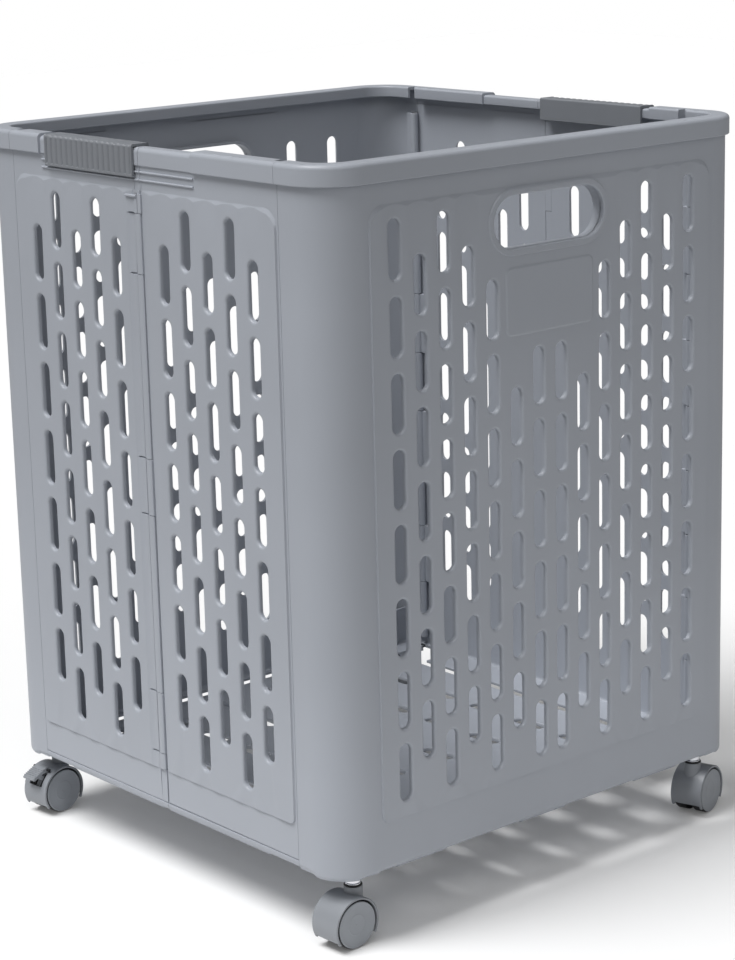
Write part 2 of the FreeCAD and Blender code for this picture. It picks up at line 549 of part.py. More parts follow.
def half_panel(direction):
    """Half panel at -X.  The rear one (direction 1) carries the slider and the even centre knuckles."""
    carries_slider = direction > 0
    near = SEAM_GAP / 2
    far = FOLD_LINE - SEAM_GAP / 2
    limits = sorted((direction * near, direction * far))
    span = box((-2 * HALF_WIDTH, limits[0], 0), (0, limits[1], 2 * BODY_TOP))
    track = TRACK_BACK if carries_slider else TRACK_FRONT
    track_limits = sorted((direction * near, direction * track))
    track_span = box((-2 * HALF_WIDTH, track_limits[0], 0), (0, track_limits[1], 2 * BODY_TOP))
    outside = -HALF_WIDTH
    inside = outside + WALL

    wall = box((outside, limits[0], BODY_BOTTOM), (inside, limits[1], BODY_TOP - RIM_TOP_WALL - TRACK_STEP))
    rim = rim_band().common(span).cut(track_span)
    track_rim = rim_band(TRACK_STEP).common(track_span)
    field_centre = direction * (SIDE_FIELD_EDGE - FIELD_CORNER) / 2
    field = plate_on_side((SIDE_FIELD_EDGE + FIELD_CORNER) / 2, (SIDE_FIELD_TOP - SIDE_FIELD_BOTTOM) / 2,
                          FIELD_CORNER, field_centre, (SIDE_FIELD_TOP + SIDE_FIELD_BOTTOM) / 2,
                          outside - FIELD_RAISE, outside + WALL / 2).common(span)
    parts = [wall, rim, track_rim, field]
    for level in RAIL_LEVELS:
        parts.append(box((outside - RIM_PROUD + TRACK_STEP, track_limits[0], level - RAIL_HEIGHT / 2),
                         (outside + WALL / 2, track_limits[1], level + RAIL_HEIGHT / 2)))

    ledge = sorted((direction * LEDGE_SEAM_GAP, direction * (FOLD_LINE - LEDGE_CORNER_GAP)))
    ledge_low = BODY_BOTTOM + LEDGE_LIFT
    parts.append(box((inside - WALL / 2, ledge[0], ledge_low),
                     (inside + LEDGE_WIDTH, ledge[1], ledge_low + FLANGE_WALL)))

    for low, high in corner_zones(1):
        arm_y = (direction * FOLD_LINE, direction * (FOLD_LINE - ARM_LENGTH))
        parts += knuckle(-CORNER_AXIS_X, direction * FOLD_LINE, low, high,
                         (-CORNER_AXIS_X, outside + WALL / 2), arm_y)
    own_zones = centre_zones(0 if carries_slider else 1)
    other_zones = centre_zones(1 if carries_slider else 0)
    reach = KNUCKLE_RADIUS + KNUCKLE_GAP
    hinge_top = CENTRE_KNUCKLE_ENDS[-1]
    clearance = [cylinder(PIN_HEAD_RADIUS + KNUCKLE_GAP, (-CENTRE_AXIS_X, 0, hinge_top), UP,
                          PIN_HEAD_HEIGHT + KNUCKLE_GAP)]
    notch = sorted((direction * FOLD_LINE, direction * (FOLD_LINE - RIM_NOTCH)))
    clearance.append(box((-CORNER_AXIS_X - KNUCKLE_GAP, notch[0], RIM_BOTTOM - 1),
                         (outside - RIM_INNER + 1, notch[1], BODY_TOP + 1)))
    for low, high in other_zones:
        clearance.append(cylinder(reach, (-CENTRE_AXIS_X, 0, low), UP, high - low))
        clearance.append(box((-CENTRE_AXIS_X, -reach, low), (inside + 1, reach, high)))
    panel = fused(parts).cut(clearance)
    knuckles = []
    for low, high in own_zones:
        arm_y = (0, direction * ARM_LENGTH)
        knuckles += knuckle(-CENTRE_AXIS_X, 0, low, high,
                            (-CENTRE_AXIS_X + CENTRE_PIN_PROUD / 4, inside), arm_y)
    panel = fused([panel] + knuckles)

    cutters = side_slots(direction)
    cutters.append(hinge_bore(-CENTRE_AXIS_X, 0, CENTRE_KNUCKLE_ENDS[0], CENTRE_KNUCKLE_ENDS[-1]))
    cutters.append(hinge_bore(-CORNER_AXIS_X, direction * FOLD_LINE, CORNER_KNUCKLE_BOTTOM,
                              CORNER_KNUCKLE_TOP))
    return panel.cut(cutters)


def rim_slider():
    """Ribbed clip at -X that wraps the rim and hooks between the two rails."""
    inset = TRACK_STEP
    outer = -HALF_WIDTH - RIM_PROUD + inset - SLIDER_GAP
    inner = -HALF_WIDTH - RIM_INNER - inset + SLIDER_GAP
    top = BODY_TOP - inset + SLIDER_GAP
    low_y = SLIDER_START
    high_y = SLIDER_START + SLIDER_LENGTH
    outer_leg = box((outer - SLIDER_WALL, low_y, SLIDER_BOTTOM), (outer, high_y, top + SLIDER_WALL))
    crown = box((outer - SLIDER_WALL, low_y, top), (inner + SLIDER_WALL, high_y, top + SLIDER_WALL))
    inner_leg = box((inner, low_y, top - SLIDER_INNER_DROP),
                    (inner + SLIDER_WALL, high_y, top + SLIDER_WALL))
    hook = box((outer - SLIDER_WALL / 2, low_y, SLIDER_BOTTOM),
               (-HALF_WIDTH - SLIDER_GAP, high_y, SLIDER_BOTTOM + SLIDER_HOOK_HEIGHT))
    body = fused([outer_leg, crown, inner_leg, hook])
    rounded = [edge for edge in body.Edges
               if all(abs(vertex.Z - top - SLIDER_WALL) < TOUCH for vertex in edge.Vertexes)
               and abs(edge.Vertexes[0].X - edge.Vertexes[-1].X) < TOUCH]
    body = body.makeFillet(SLIDER_WALL * 0.7, rounded)
    pitch = SLIDER_LENGTH / (SLIDER_RIBS + 1)
    grooves = []
    for number in range(SLIDER_RIBS):
        y = low_y + (number + 1) * pitch
        for x in (outer - SLIDER_WALL, inner + SLIDER_WALL):
            grooves.append(box((x - SLIDER_RIB_GROOVE, y - pitch / 5, 0),
                               (x + SLIDER_RIB_GROOVE, y + pitch / 5, top - 2 * SLIDER_WALL)))
    return body.cut(grooves)


# ---------------------------------------------------------------- floor
def floor_panel():
    """Floor plate that lies just under the bottom edges, with vent slots and three hinge knuckles."""
    front = FLOOR_HINGE_Y + KNUCKLE_RADIUS + 2 * KNUCKLE_GAP
    middle = (front + FLOOR_REAR_EDGE) / 2
    plate = rounded_prism(FLOOR_HALF_WIDTH, (FLOOR_REAR_EDGE - front) / 2, FLOOR_CORNER,
                          FLOOR_UNDERSIDE, FLOOR_TOP, (0.0, middle))
    parts = [plate]
    for centre in FLOOR_KNUCKLE_CENTRES:
        low = centre - FLOOR_KNUCKLE_LENGTH / 2
        parts.append(cylinder(KNUCKLE_RADIUS, (low, FLOOR_HINGE_Y, FLOOR_AXIS_Z), ALONG_X,
                              FLOOR_KNUCKLE_LENGTH))
        parts.append(box((low, FLOOR_HINGE_Y, FLOOR_UNDERSIDE),
                         (low + FLOOR_KNUCKLE_LENGTH, front + 1, FLOOR_TOP)))
    floor = fused(parts)
    cutters = [cylinder(KNUCKLE_BORE, (-HALF_WIDTH, FLOOR_HINGE_Y, FLOOR_AXIS_Z), ALONG_X, 2 * HALF_WIDTH)]
    rows = int((FLOOR_REAR_EDGE - front) // SLOT_PITCH)
    columns = int(2 * FLOOR_HALF_WIDTH // (2 * SIDE_COLUMN_PITCH))
    for row in range(rows):
        for column in range(columns):
            x = (column - (columns - 1) / 2) * 2 * SIDE_COLUMN_PITCH
            y = middle + (row - (rows - 1) / 2) * SLOT_PITCH
            cutters.append(rounded_prism(SLOT_WIDTH / 2, (SLOT_LENGTH - SLOT_WIDTH) / 2,
                                         SLOT_WIDTH / 2 - FULL_ROUND, FLOOR_UNDERSIDE - 1, FLOOR_TOP + 1,
                                         (x, y)))
    return floor.cut(cutters)


def floor_pins():
    """One pin through each floor knuckle and its two lugs."""
    pins = []
    for centre in FLOOR_KNUCKLE_CENTRES:
        half = FLOOR_KNUCKLE_LENGTH / 2 + LUG_GAP + LUG_WIDTH
        shank = cylinder(PIN_RADIUS, (centre - half, FLOOR_HINGE_Y, FLOOR_AXIS_Z), ALONG_X, 2 * half)
        head = cylinder(PIN_HEAD_RADIUS, (centre + half, FLOOR_HINGE_Y, FLOOR_AXIS_Z), ALONG_X,
                        PIN_HEAD_HEIGHT)
        pins.append(fused([shank, head]))
    return Part.makeCompound(pins)


def floor_rest_bar():
    """Bar under the rear end of the floor, carried by the rear shell's corner flanges."""
    low_y = REST_BAR_Y
    high_y = REST_BAR_Y + REST_BAR_DEPTH
    bar = box((-REST_BAR_END, low_y, REST_BAR_TOP - REST_BAR_HEIGHT), (REST_BAR_END, high_y, REST_BAR_TOP))
    parts = [bar]
    for side in (-1, 1):
        reach = sorted((side * FOOT_SIDE_INNER, side * REST_BAR_END))
        parts.append(box((reach[0], SHELL_EDGE, REST_BAR_TOP - 1), (reach[1], high_y, FOOT_BOTTOM)))
    return fused(parts)


# ---------------------------------------------------------------- casters
def caster_hood(has_brake):
    """Hood that swivels about the stem, with a web between the wheels and a boss around the stem."""
    axle = (CASTER_TRAIL, 0, WHEEL_RADIUS)
    drum = cylinder(HOOD_RADIUS, (axle[0], -HOOD_HALF_WIDTH, axle[2]), ALONG_Y, 2 * HOOD_HALF_WIDTH)
    hood_over_boss = math.sqrt(HOOD_RADIUS ** 2 - (CASTER_BOSS_RADIUS + CASTER_TRAIL) ** 2)
    boss_low = WHEEL_RADIUS + hood_over_boss - CASTER_BOSS_ROOT
    boss = cylinder(CASTER_BOSS_RADIUS, (0, 0, boss_low), UP, CASTER_BOSS_TOP - boss_low)
    parts = [drum, boss]
    if has_brake:
        parts += pedal_ears()
    hood = fused(parts)
    cutters = [below_hood()]
    for side in (-1, 1):
        start = WEB_HALF_THICKNESS if side > 0 else -HOOD_HALF_WIDTH - 1
        cutters.append(cylinder(WHEEL_POCKET_RADIUS, (axle[0], start, axle[2]), ALONG_Y,
                                HOOD_HALF_WIDTH + 1 - WEB_HALF_THICKNESS))
    cutters.append(cylinder(STEM_RADIUS + SPIN_CLEARANCE, (0, 0, STEM_BOTTOM - STEM_END_GAP), UP, BEYOND))
    cutters.append(cylinder(AXLE_RADIUS, (axle[0], -BEYOND, axle[2]), ALONG_Y, 2 * BEYOND))
    if has_brake:
        cutters.append(brake_window())
        pivot = pedal_pivot()
        cutters.append(cylinder(PEDAL_PIN_RADIUS, (pivot.x, -BEYOND, pivot.z), ALONG_Y, 2 * BEYOND))
    return hood.cut(cutters)


def below_hood():
    """Everything under the hood's sloping lower edge."""
    front = CASTER_TRAIL - HOOD_RADIUS
    rear = CASTER_TRAIL + HOOD_RADIUS
    slope = (HOOD_REAR_CUT - HOOD_FRONT_CUT) / (rear - front)
    corners = [Vector(front - BEYOND, -BEYOND, HOOD_FRONT_CUT - BEYOND * slope),
               Vector(rear + BEYOND, -BEYOND, HOOD_REAR_CUT + BEYOND * slope),
               Vector(rear + BEYOND, -BEYOND, -BEYOND),
               Vector(front - BEYOND, -BEYOND, -BEYOND)]
    return Part.Face(Part.makePolygon(corners + corners[:1])).extrude(Vector(0, 2 * BEYOND, 0))


def pedal_pivot():
    angle = math.radians(PEDAL_PIVOT_ANGLE)
    return Vector(CASTER_TRAIL + PEDAL_PIVOT_RADIUS * math.cos(angle), 0,
                  WHEEL_RADIUS + PEDAL_PIVOT_RADIUS * math.sin(angle))


def pedal_ears():
    pivot = pedal_pivot()
    axle = Vector(CASTER_TRAIL, 0, WHEEL_RADIUS)
    inward = (axle - pivot).normalize()
    ears = []
    for side in (-1, 1):
        near = side * (PEDAL_HALF_WIDTH + PEDAL_SIDE_GAP)
        low, high = sorted((near, near + side * PEDAL_EAR_THICKNESS))
        ears.append(cylinder(PEDAL_EYE_RADIUS, (pivot.x, low, pivot.z), ALONG_Y, high - low))
        foot = pivot + inward * (PEDAL_EYE_RADIUS + 1)
        ears.append(cylinder(PEDAL_EYE_RADIUS, (foot.x, low, foot.z), ALONG_Y, high - low))
    return ears


def brake_window():
    """Opening in the back of the hood that the brake shoe goes through."""
    half = PEDAL_HALF_WIDTH + PEDAL_SIDE_GAP
    reach = HOOD_RADIUS + BEYOND
    points = [Vector(CASTER_TRAIL, -half, WHEEL_RADIUS)]
    for angle in (WINDOW_LOW_ANGLE, WINDOW_HIGH_ANGLE):
        turn = math.radians(angle)
        points.append(Vector(CASTER_TRAIL + reach * math.cos(turn), -half,
                             WHEEL_RADIUS + reach * math.sin(turn)))
    wedge = Part.Face(Part.makePolygon(points + points[:1])).extrude(Vector(0, 2 * half, 0))
    core = cylinder(WHEEL_RADIUS, (CASTER_TRAIL, -BEYOND, WHEEL_RADIUS), ALONG_Y, 2 * BEYOND)
    pivot = pedal_pivot()
    eye_room = cylinder(PEDAL_EYE_RADIUS + PEDAL_EYE_GAP, (pivot.x, -half, pivot.z), ALONG_Y, 2 * half)
    return fused([wedge.cut(core), eye_room])


def brake_pedal():
    """Pedal at the back of the hood, with a shoe that comes down near the wheels' treads."""
    pivot = pedal_pivot()
    half = PEDAL_HALF_WIDTH
    eye = cylinder(PEDAL_EYE_RADIUS, (pivot.x, -half, pivot.z), ALONG_Y, 2 * half)
    lever_parts = [box((0, -half, PEDAL_EYE_RADIUS - PEDAL_THICKNESS),
                       (PEDAL_LENGTH, half, PEDAL_EYE_RADIUS))]
    for number in range(PEDAL_RIBS):
        share = PEDAL_RIB_START + (PEDAL_RIB_END - PEDAL_RIB_START) * number / (PEDAL_RIBS - 1)
        x = PEDAL_LENGTH * share - PEDAL_RIB_WIDTH / 2
        lever_parts.append(box((x, -half, 0),
                               (x + PEDAL_RIB_WIDTH, half, PEDAL_EYE_RADIUS + PEDAL_RIB_HEIGHT)))
    lever = fused(lever_parts)
    above_lever = box((-BEYOND, -BEYOND, PEDAL_EYE_RADIUS - SHOE_ROOT), (BEYOND, BEYOND, BEYOND))
    for shape in (lever, above_lever):
        shape.rotate(ORIGIN, ALONG_Y, PEDAL_SLOPE)
        shape.translate(pivot)
    turn = math.radians(SHOE_ANGLE)
    inner_end = Vector(CASTER_TRAIL + SHOE_RADIUS * math.cos(turn), 0,
                       WHEEL_RADIUS + SHOE_RADIUS * math.sin(turn))
    shoe_half = half - SHOE_SIDE_INSET
    shoe = box((0, -shoe_half, -SHOE_THICKNESS / 2), (SHOE_LENGTH, shoe_half, SHOE_THICKNESS / 2))
    shoe.rotate(ORIGIN, ALONG_Y, -SHOE_ANGLE)
    shoe.translate(inner_end)
    pedal = fused([eye, lever, shoe.cut(above_lever)])
    bore = cylinder(PEDAL_PIN_RADIUS + SPIN_CLEARANCE, (pivot.x, -BEYOND, pivot.z), ALONG_Y, 2 * BEYOND)
    return pedal.cut(bore)


def pedal_pin():
    pivot = pedal_pivot()
    half = PEDAL_HALF_WIDTH + PEDAL_SIDE_GAP + PEDAL_EAR_THICKNESS
    return cylinder(PEDAL_PIN_RADIUS, (pivot.x, -half, pivot.z), ALONG_Y, 2 * half)


def caster_hub(side):
    """Wheel hub with its closed outer disc and a blind bore."""
    low, high = sorted((side * WHEEL_INNER_FACE, side * WHEEL_OUTER_FACE))
    hub = cylinder(HUB_RADIUS, (CASTER_TRAIL, low, WHEEL_RADIUS), ALONG_Y, high - low)
    bore_low, bore_high = sorted((0, side * (AXLE_HALF_LENGTH + AXLE_END_GAP)))
    bore = cylinder(AXLE_RADIUS + SPIN_CLEARANCE, (CASTER_TRAIL, bore_low, WHEEL_RADIUS), ALONG_Y,
                    bore_high - bore_low)
    outer = [edge for edge in hub.Edges if abs(abs(edge.BoundBox.Center.y) - WHEEL_OUTER_FACE) < TOUCH
             and edge.BoundBox.YLength < TOUCH]
    return hub.makeFillet(HUB_EDGE_RADIUS, outer).cut(bore)


def caster_tyre(side):
    """Tread ring around a hub."""
    low, high = sorted((side * (WHEEL_INNER_FACE + TREAD_INNER_INSET),
                        side * (WHEEL_OUTER_FACE - TREAD_OUTER_INSET)))
    tread = cylinder(WHEEL_RADIUS, (CASTER_TRAIL, low, WHEEL_RADIUS), ALONG_Y, high - low)
    rims = [edge for edge in tread.Edges if edge.BoundBox.YLength < TOUCH]
    tread = tread.makeFillet(TREAD_EDGE_RADIUS, rims)
    return tread.cut(cylinder(HUB_RADIUS, (CASTER_TRAIL, low - 1, WHEEL_RADIUS), ALONG_Y, high - low + 2))


def caster_stem():
    """Steel stem: a pintle in the hood's boss, a ring above it and a shank up into the socket."""
    pintle = cylinder(STEM_RADIUS, (0, 0, STEM_BOTTOM), UP, STEM_RING_BOTTOM - STEM_BOTTOM)
    ring = cylinder(STEM_RING_RADIUS, (0, 0, STEM_RING_BOTTOM), UP, STEM_RING_TOP - STEM_RING_BOTTOM)
    shank = cylinder(STEM_UPPER_RADIUS, (0, 0, STEM_RING_TOP), UP, STEM_TOP - STEM_RING_TOP)
    return fused([pintle, ring, shank])


def caster_socket():
    """Plastic sleeve in the shell's boss that grips the stem."""
    sleeve = cylinder(SOCKET_RADIUS, (0, 0, FOOT_BOTTOM), UP, SOCKET_TOP - FOOT_BOTTOM)
    return sleeve.cut(cylinder(STEM_UPPER_RADIUS, (0, 0, FOOT_BOTTOM - 1), UP, STEM_TOP - FOOT_BOTTOM + 1))


def caster_axle():
    return cylinder(AXLE_RADIUS, (CASTER_TRAIL, -AXLE_HALF_LENGTH, WHEEL_RADIUS), ALONG_Y,
                    2 * AXLE_HALF_LENGTH)


def build_casters():
    for name, side_x, side_y, heading, has_brake in CASTERS:
        pieces = {
            "socket": caster_socket(),
            "stem": caster_stem(),
            "hood": caster_hood(has_brake),
            "axle": caster_axle(),
            "near_hub": caster_hub(-1),
            "far_hub": caster_hub(1),
            "near_tyre": caster_tyre(-1),
            "far_tyre": caster_tyre(1),
        }
        if has_brake:
            pieces["brake_pedal"] = brake_pedal()
            pieces["brake_pin"] = pedal_pin()
        place = Placement(Vector(side_x * CASTER_X, side_y * CASTER_Y, 0), Rotation(UP, heading))
        for piece, shape in pieces.items():
            shape.Placement = place.multiply(shape.Placement)
            export(f"{name}_caster_{piece}", shape)


# ---------------------------------------------------------------- whole trolley
def build_side(prefix, degrees, first, second):
    """One folding side, made at -X and turned into place.  first and second name its two half panels."""
    export(f"{prefix}_{first}_panel", turned(half_panel(-1), degrees))
    export(f"{prefix}_{second}_panel", turned(half_panel(1), degrees))
    export(f"{prefix}_rim_slider", turned(rim_slider(), degrees))
    centre = hinge_pin(-CENTRE_AXIS_X, 0, CENTRE_KNUCKLE_ENDS[0], CENTRE_KNUCKLE_ENDS[-1])
    export(f"{prefix}_centre_hinge_pin", turned(centre, degrees))
    for name, direction in ((first, -1), (second, 1)):
        pin = hinge_pin(-CORNER_AXIS_X, direction * FOLD_LINE, CORNER_KNUCKLE_BOTTOM, CORNER_KNUCKLE_TOP)
        export(f"{prefix}_{name}_hinge_pin", turned(pin, degrees))


def main():
    os.makedirs("parts", exist_ok=True)
    export("front_shell", front_shell())
    export("rear_shell", rear_shell())
    build_side("left", 0, "front", "rear")
    build_side("right", 180, "rear", "front")
    export("floor_panel", floor_panel())
    export("floor_hinge_pins", floor_pins())
    export("floor_rest_bar", floor_rest_bar())
    build_casters()


main()
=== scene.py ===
"""Looks of the folding linen trolley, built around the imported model.

Sizes are in millimetres and are turned into metres when a mesh is made.  A wall's own plane is (u, v) with v
upwards, and its third coordinate is how far a point stands proud of the wall's outer face.
"""
import json
import math

import bpy
import numpy as np
from mathutils import Matrix, Vector
from mathutils.geometry import delaunay_2d_cdt

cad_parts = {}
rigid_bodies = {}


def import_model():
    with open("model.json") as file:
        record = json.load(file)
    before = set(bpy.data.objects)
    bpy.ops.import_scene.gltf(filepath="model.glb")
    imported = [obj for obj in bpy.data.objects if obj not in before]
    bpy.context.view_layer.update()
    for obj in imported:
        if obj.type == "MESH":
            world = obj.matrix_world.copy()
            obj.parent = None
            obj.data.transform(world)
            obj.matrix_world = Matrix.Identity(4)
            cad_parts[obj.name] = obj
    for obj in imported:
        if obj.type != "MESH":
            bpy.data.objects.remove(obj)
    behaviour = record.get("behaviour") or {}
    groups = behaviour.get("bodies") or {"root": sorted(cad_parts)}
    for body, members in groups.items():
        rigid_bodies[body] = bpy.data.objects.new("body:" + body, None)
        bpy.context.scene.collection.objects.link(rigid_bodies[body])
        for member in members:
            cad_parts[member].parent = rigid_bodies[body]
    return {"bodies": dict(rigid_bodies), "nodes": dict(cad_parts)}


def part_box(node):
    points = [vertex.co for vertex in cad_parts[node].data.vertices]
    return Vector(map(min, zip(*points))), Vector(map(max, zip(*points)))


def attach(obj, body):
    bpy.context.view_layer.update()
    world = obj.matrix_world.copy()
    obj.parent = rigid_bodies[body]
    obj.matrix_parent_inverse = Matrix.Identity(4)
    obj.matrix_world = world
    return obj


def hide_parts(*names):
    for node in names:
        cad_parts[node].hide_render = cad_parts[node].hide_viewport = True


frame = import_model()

MM = 0.001
OUT = Vector((-1, 0, 0))       # out of the side at -X
BACK = Vector((0, 1, 0))
UP = Vector((0, 0, 1))
CORNERS = ((1, 1, 0), (-1, 1, 90), (-1, -1, 180), (1, -1, 270))   # signs and first angle
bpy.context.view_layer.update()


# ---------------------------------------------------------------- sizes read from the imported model
def box_mm(node):
    low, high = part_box(node)
    return [value / MM for value in low], [value / MM for value in high]


def centre_mm(node):
    low, high = box_mm(node)
    return [(a + b) / 2 for a, b in zip(low, high)]


RIM_PROUD = 3.0
SHELL_LOW, SHELL_HIGH = box_mm("front_shell")
HALF_WIDTH = SHELL_HIGH[0] - RIM_PROUD
HALF_DEPTH = -SHELL_LOW[1] - RIM_PROUD
BODY_TOP = SHELL_HIGH[2]
BODY_BOTTOM = box_mm("left_front_panel")[0][2]
BODY_HEIGHT = BODY_TOP - BODY_BOTTOM
CORNER_PIN_BOTTOM = box_mm("left_rear_hinge_pin")[0][2]
CORNER_AXIS_X = -centre_mm("left_rear_hinge_pin")[0]
FOLD_LINE = centre_mm("left_rear_hinge_pin")[1]
CENTRE_PIN_LOW, CENTRE_PIN_HIGH = box_mm("left_centre_hinge_pin")
FLOOR_LOW, FLOOR_HIGH = box_mm("floor_panel")
SLIDER_LOW, SLIDER_HIGH = box_mm("left_rim_slider")


# ---------------------------------------------------------------- sizes of the details
CORNER_RADIUS = 32.0
WALL = 2.2
SEAM_HALF_GAP = 0.15
SHELL_EDGE = FOLD_LINE + SEAM_HALF_GAP
PANEL_EDGE = FOLD_LINE - SEAM_HALF_GAP
ARC_STEPS = 14

RIM_WIDTH = 15.0
RIM_DROP = 14.5
RIM_TOP_WALL = 2.5
RIM_LIP_DROP = 9.0
RIM_LIP_WALL = 2.0
RIM_LIP_CHAMFER = 0.5
RIM_OUTER_RADIUS = 3.4
RIM_INNER_RADIUS = 1.6
RIM_FOOT_RADIUS = 0.7
RIM_STEP = 7.2              # length of rim that is stepped back at a corner hinge
RIM_STEP_SLOPE = 0.6
HINGE_ROOM = 0.4
RIM_BOTTOM = BODY_TOP - RIM_DROP
WALL_TOP = RIM_BOTTOM + 0.5
TRACK_STEP = 1.8
TRACK_BACK = 118.0
TRACK_FRONT = 66.0
RAILS_BELOW_TOP = (24.4, 18.8)
RAIL_HALF_HEIGHT = 0.7
RAIL_PROUD = 0.5            # of the middle of a rail's round edge

SKIRT_TOP = BODY_BOTTOM + 14.0
SKIRT_RADIUS = 4.0
SKIRT_INNER_RADIUS = 2.4
SKIRT_FLANGE = 8.0
PANEL_FLANGE = HALF_WIDTH - CORNER_AXIS_X - HINGE_ROOM
FLANGE_WALL = 2.2
LIP_HEIGHT = 6.0            # of the plain band along a side's bottom edge
LIP_GROOVE = 0.7
LIP_PROUD = 0.15
PANEL_SKIRT_TOP = BODY_BOTTOM + LIP_HEIGHT + LIP_GROOVE
FLANGE_SIDE_WIDTH = 35.5
FOOT_HEIGHT = 2.9
FOOT_WIDTH = 34.5
FOOT_SIDE_SPAN = (166.0, 176.0)   # where a foot's height fades in, along a side
FOOT_END_SPAN = (175.0, 185.0)    # and along an end
FOOT_LEAD = 3.0
FOOT_LEAD_STEP = 1.7
BOSS_LOW = BODY_BOTTOM + 0.5
BOSS_TOP = BODY_BOTTOM + 34.0
SOCKET_BOSS_RADIUS = 9.2
SOCKET_BOSS_ROUND = 1.2
AXIS_HOLE = 0.4             # kept open on the axis of a turned solid
REST_BAR_INSET = 22.0
REST_BAR_ROUND = 1.5
LEDGE_WIDTH = 32.0
LEDGE_CORNER_GAP = 34.0
LEDGE_SEAM_GAP = 3.0
LEDGE_LIFT = 0.2
FLOOR_WALL = 3.0
FLOOR_KNUCKLES = (-120.0, 0.0, 120.0)
FLOOR_KNUCKLE_HALF = 12.0
LUG_SPAN = (12.5, 22.5)
LUG_REACH = 8.0

FIELD_RAISE = 1.3
FIELD_TOP_CORNER = 13.0
FIELD_LOW_CORNER = 5.5
FIELD_EDGE = 0.6            # width of the sloping border at a field's sides and bottom
FIELD_TOP_EDGE = 2.6        # and at its top
FIELD_SPACING = 2.5         # between points along the border
FIELD_PAST_SEAM = 40.0      # how far a half panel's field would run on past the seam
FLUTE_DEPTH = 0.9
FLUTE_LOW = BODY_TOP - 110.0
FLUTE_HIGH = BODY_TOP - 40.0
RIDGE_SPACING = 9.0
RIDGE_SHIFTS = (-2.6, 0.0, 2.6)
RIDGE_BELOW_FIELD = 6.0
END_FIELD_HALF_WIDTH = HALF_WIDTH - 38.0
END_FIELD_LOW = BODY_BOTTOM + 35.5
END_FIELD_HIGH = BODY_TOP - 29.5
SIDE_FIELD_EDGE = FOLD_LINE - 2.0
SIDE_FIELD_LOW = BODY_BOTTOM + 31.5
SIDE_FIELD_HIGH = BODY_TOP - 31.5
GUARD = 0.8                 # flat margin beside a curved edge, so that its shading stays there

SLOT_HALF_LENGTH = 20.5
SLOT_HALF_WIDTH = 5.25
SLOT_EDGE_RADIUS = 1.7
SLOT_PITCH = (BODY_HEIGHT - 76.0) / 8
END_SLOT_TOP = BODY_TOP - 39.5
END_COLUMNS = ((0.0, 8), (0.5, 7), (0.0, 8), (0.5, 7), (1.0, 7), (2.5, 5), (2.0, 6))
END_COLUMN_PITCH = (END_FIELD_HALF_WIDTH - 22.0) / (len(END_COLUMNS) - 0.5)
END_FLUTED_FROM = 3         # columns nearer to the middle than this have no flute
SIDE_SLOT_TOP = BODY_TOP - 42.2
SIDE_COLUMNS = ((0.5, 7), (0.0, 8), (0.5, 7), (0.0, 8), (0.5, 7))
SIDE_FIRST_COLUMN = 28.65
SIDE_COLUMN_PITCH = (SIDE_FIELD_EDGE - 25.95 - SIDE_FIRST_COLUMN) / (len(SIDE_COLUMNS) - 1)

HAND_HALF_LENGTH = 53.0
HAND_HALF_HEIGHT = 18.5
HAND_HOLE_Z = BODY_TOP - 54.0
HAND_BEAD_WIDTH = 5.0
HAND_BEAD_RAISE = 1.0
HAND_EDGE_RADIUS = 1.2
HAND_LIP_DEPTH = 9.2
HAND_LIP_WALL = 2.2
HAND_LIP_ROUND = 0.7
HAND_STEPS = 24
HAND = {"centre": (0.0, HAND_HOLE_Z), "half_width": HAND_HALF_HEIGHT, "half_length": HAND_HALF_LENGTH,
        "level": True}
LABEL_HALF_LENGTH = 41.5
LABEL_HALF_HEIGHT = 23.0
LABEL_Z = BODY_TOP - 109.0
LABEL_CORNER = 4.0
LABEL_RAISE = 0.6

KNUCKLE_RADIUS = 3.2
KNUCKLE_GAP = 0.2
KNUCKLE_CHAMFER = 0.4
KNUCKLE_ARM = 9.0
CORNER_KNUCKLES = 9
CORNER_KNUCKLE_TOP = BODY_TOP - 22.0
CENTRE_SHARES = (0.065, 0.0905, 0.186, 0.4585, 0.5435, 0.815, 0.9025, 0.931)
CENTRE_ENDS = [BODY_BOTTOM + share * BODY_HEIGHT for share in CENTRE_SHARES]
BARREL_EDGE = 3.2
BARREL_SEAM = 0.45          # gap beside the barrels, on the half in front of the seam
BARREL_JOINT = 0.2          # overlap of the barrels with their own wall, on the half behind it
BARREL_PROUD = 1.5
BARREL_STEPS = 12
GROOVE_RISE = (6.0, 8.0)
GROOVE_END = 13.0
GROOVE_DEPTH = 1.1
GROOVE_FLOOR = 0.35         # share of the groove's depth that runs on to the barrels
GROOVE_LINES = (5.0, 6.5, 8.0, 9.5, 11.0, 12.0, GROOVE_END, GROOVE_END + GUARD)
SEAM_GROOVE = 0.8
SLIT_HALF = 0.7
SLIT_SLOPE = 0.4
SLIT_END = 12.0
SLIT_END_SLOPE = 0.5
SLIT_DEPTH = 1.5
KINK_EDGE = -BARREL_EDGE + 3.0
HINGE_BAR = (0.4, 13.0, 1.0)   # the bar above the hinge: its ends and half its height
HINGE_BAR_DROP = 2.0
HIDDEN_WIRE_RADIUS = 0.55

SLIDER_WALL = 1.8
SLIDER_FORWARD = 1.8
SLIDER_LENGTH = 108.5
SLIDER_BORDER = 2.2
SLIDER_FOOT = 2.0           # height of the plain band under the ribs
SLIDER_RIBS = 16
SLIDER_OUTER_ROUND = 2.4
SLIDER_INNER_ROUND = 1.2
SLIDER_INNER_DROP = 17.3
SLIDER_END_ROUND = 0.35
RIB_STATIONS = (0.0, 0.07, 0.14, 0.23, 0.36, 0.64, 0.77, 0.86, 0.93)
RIB_INSET = 0.25
RIB_DEPTH = 1.2

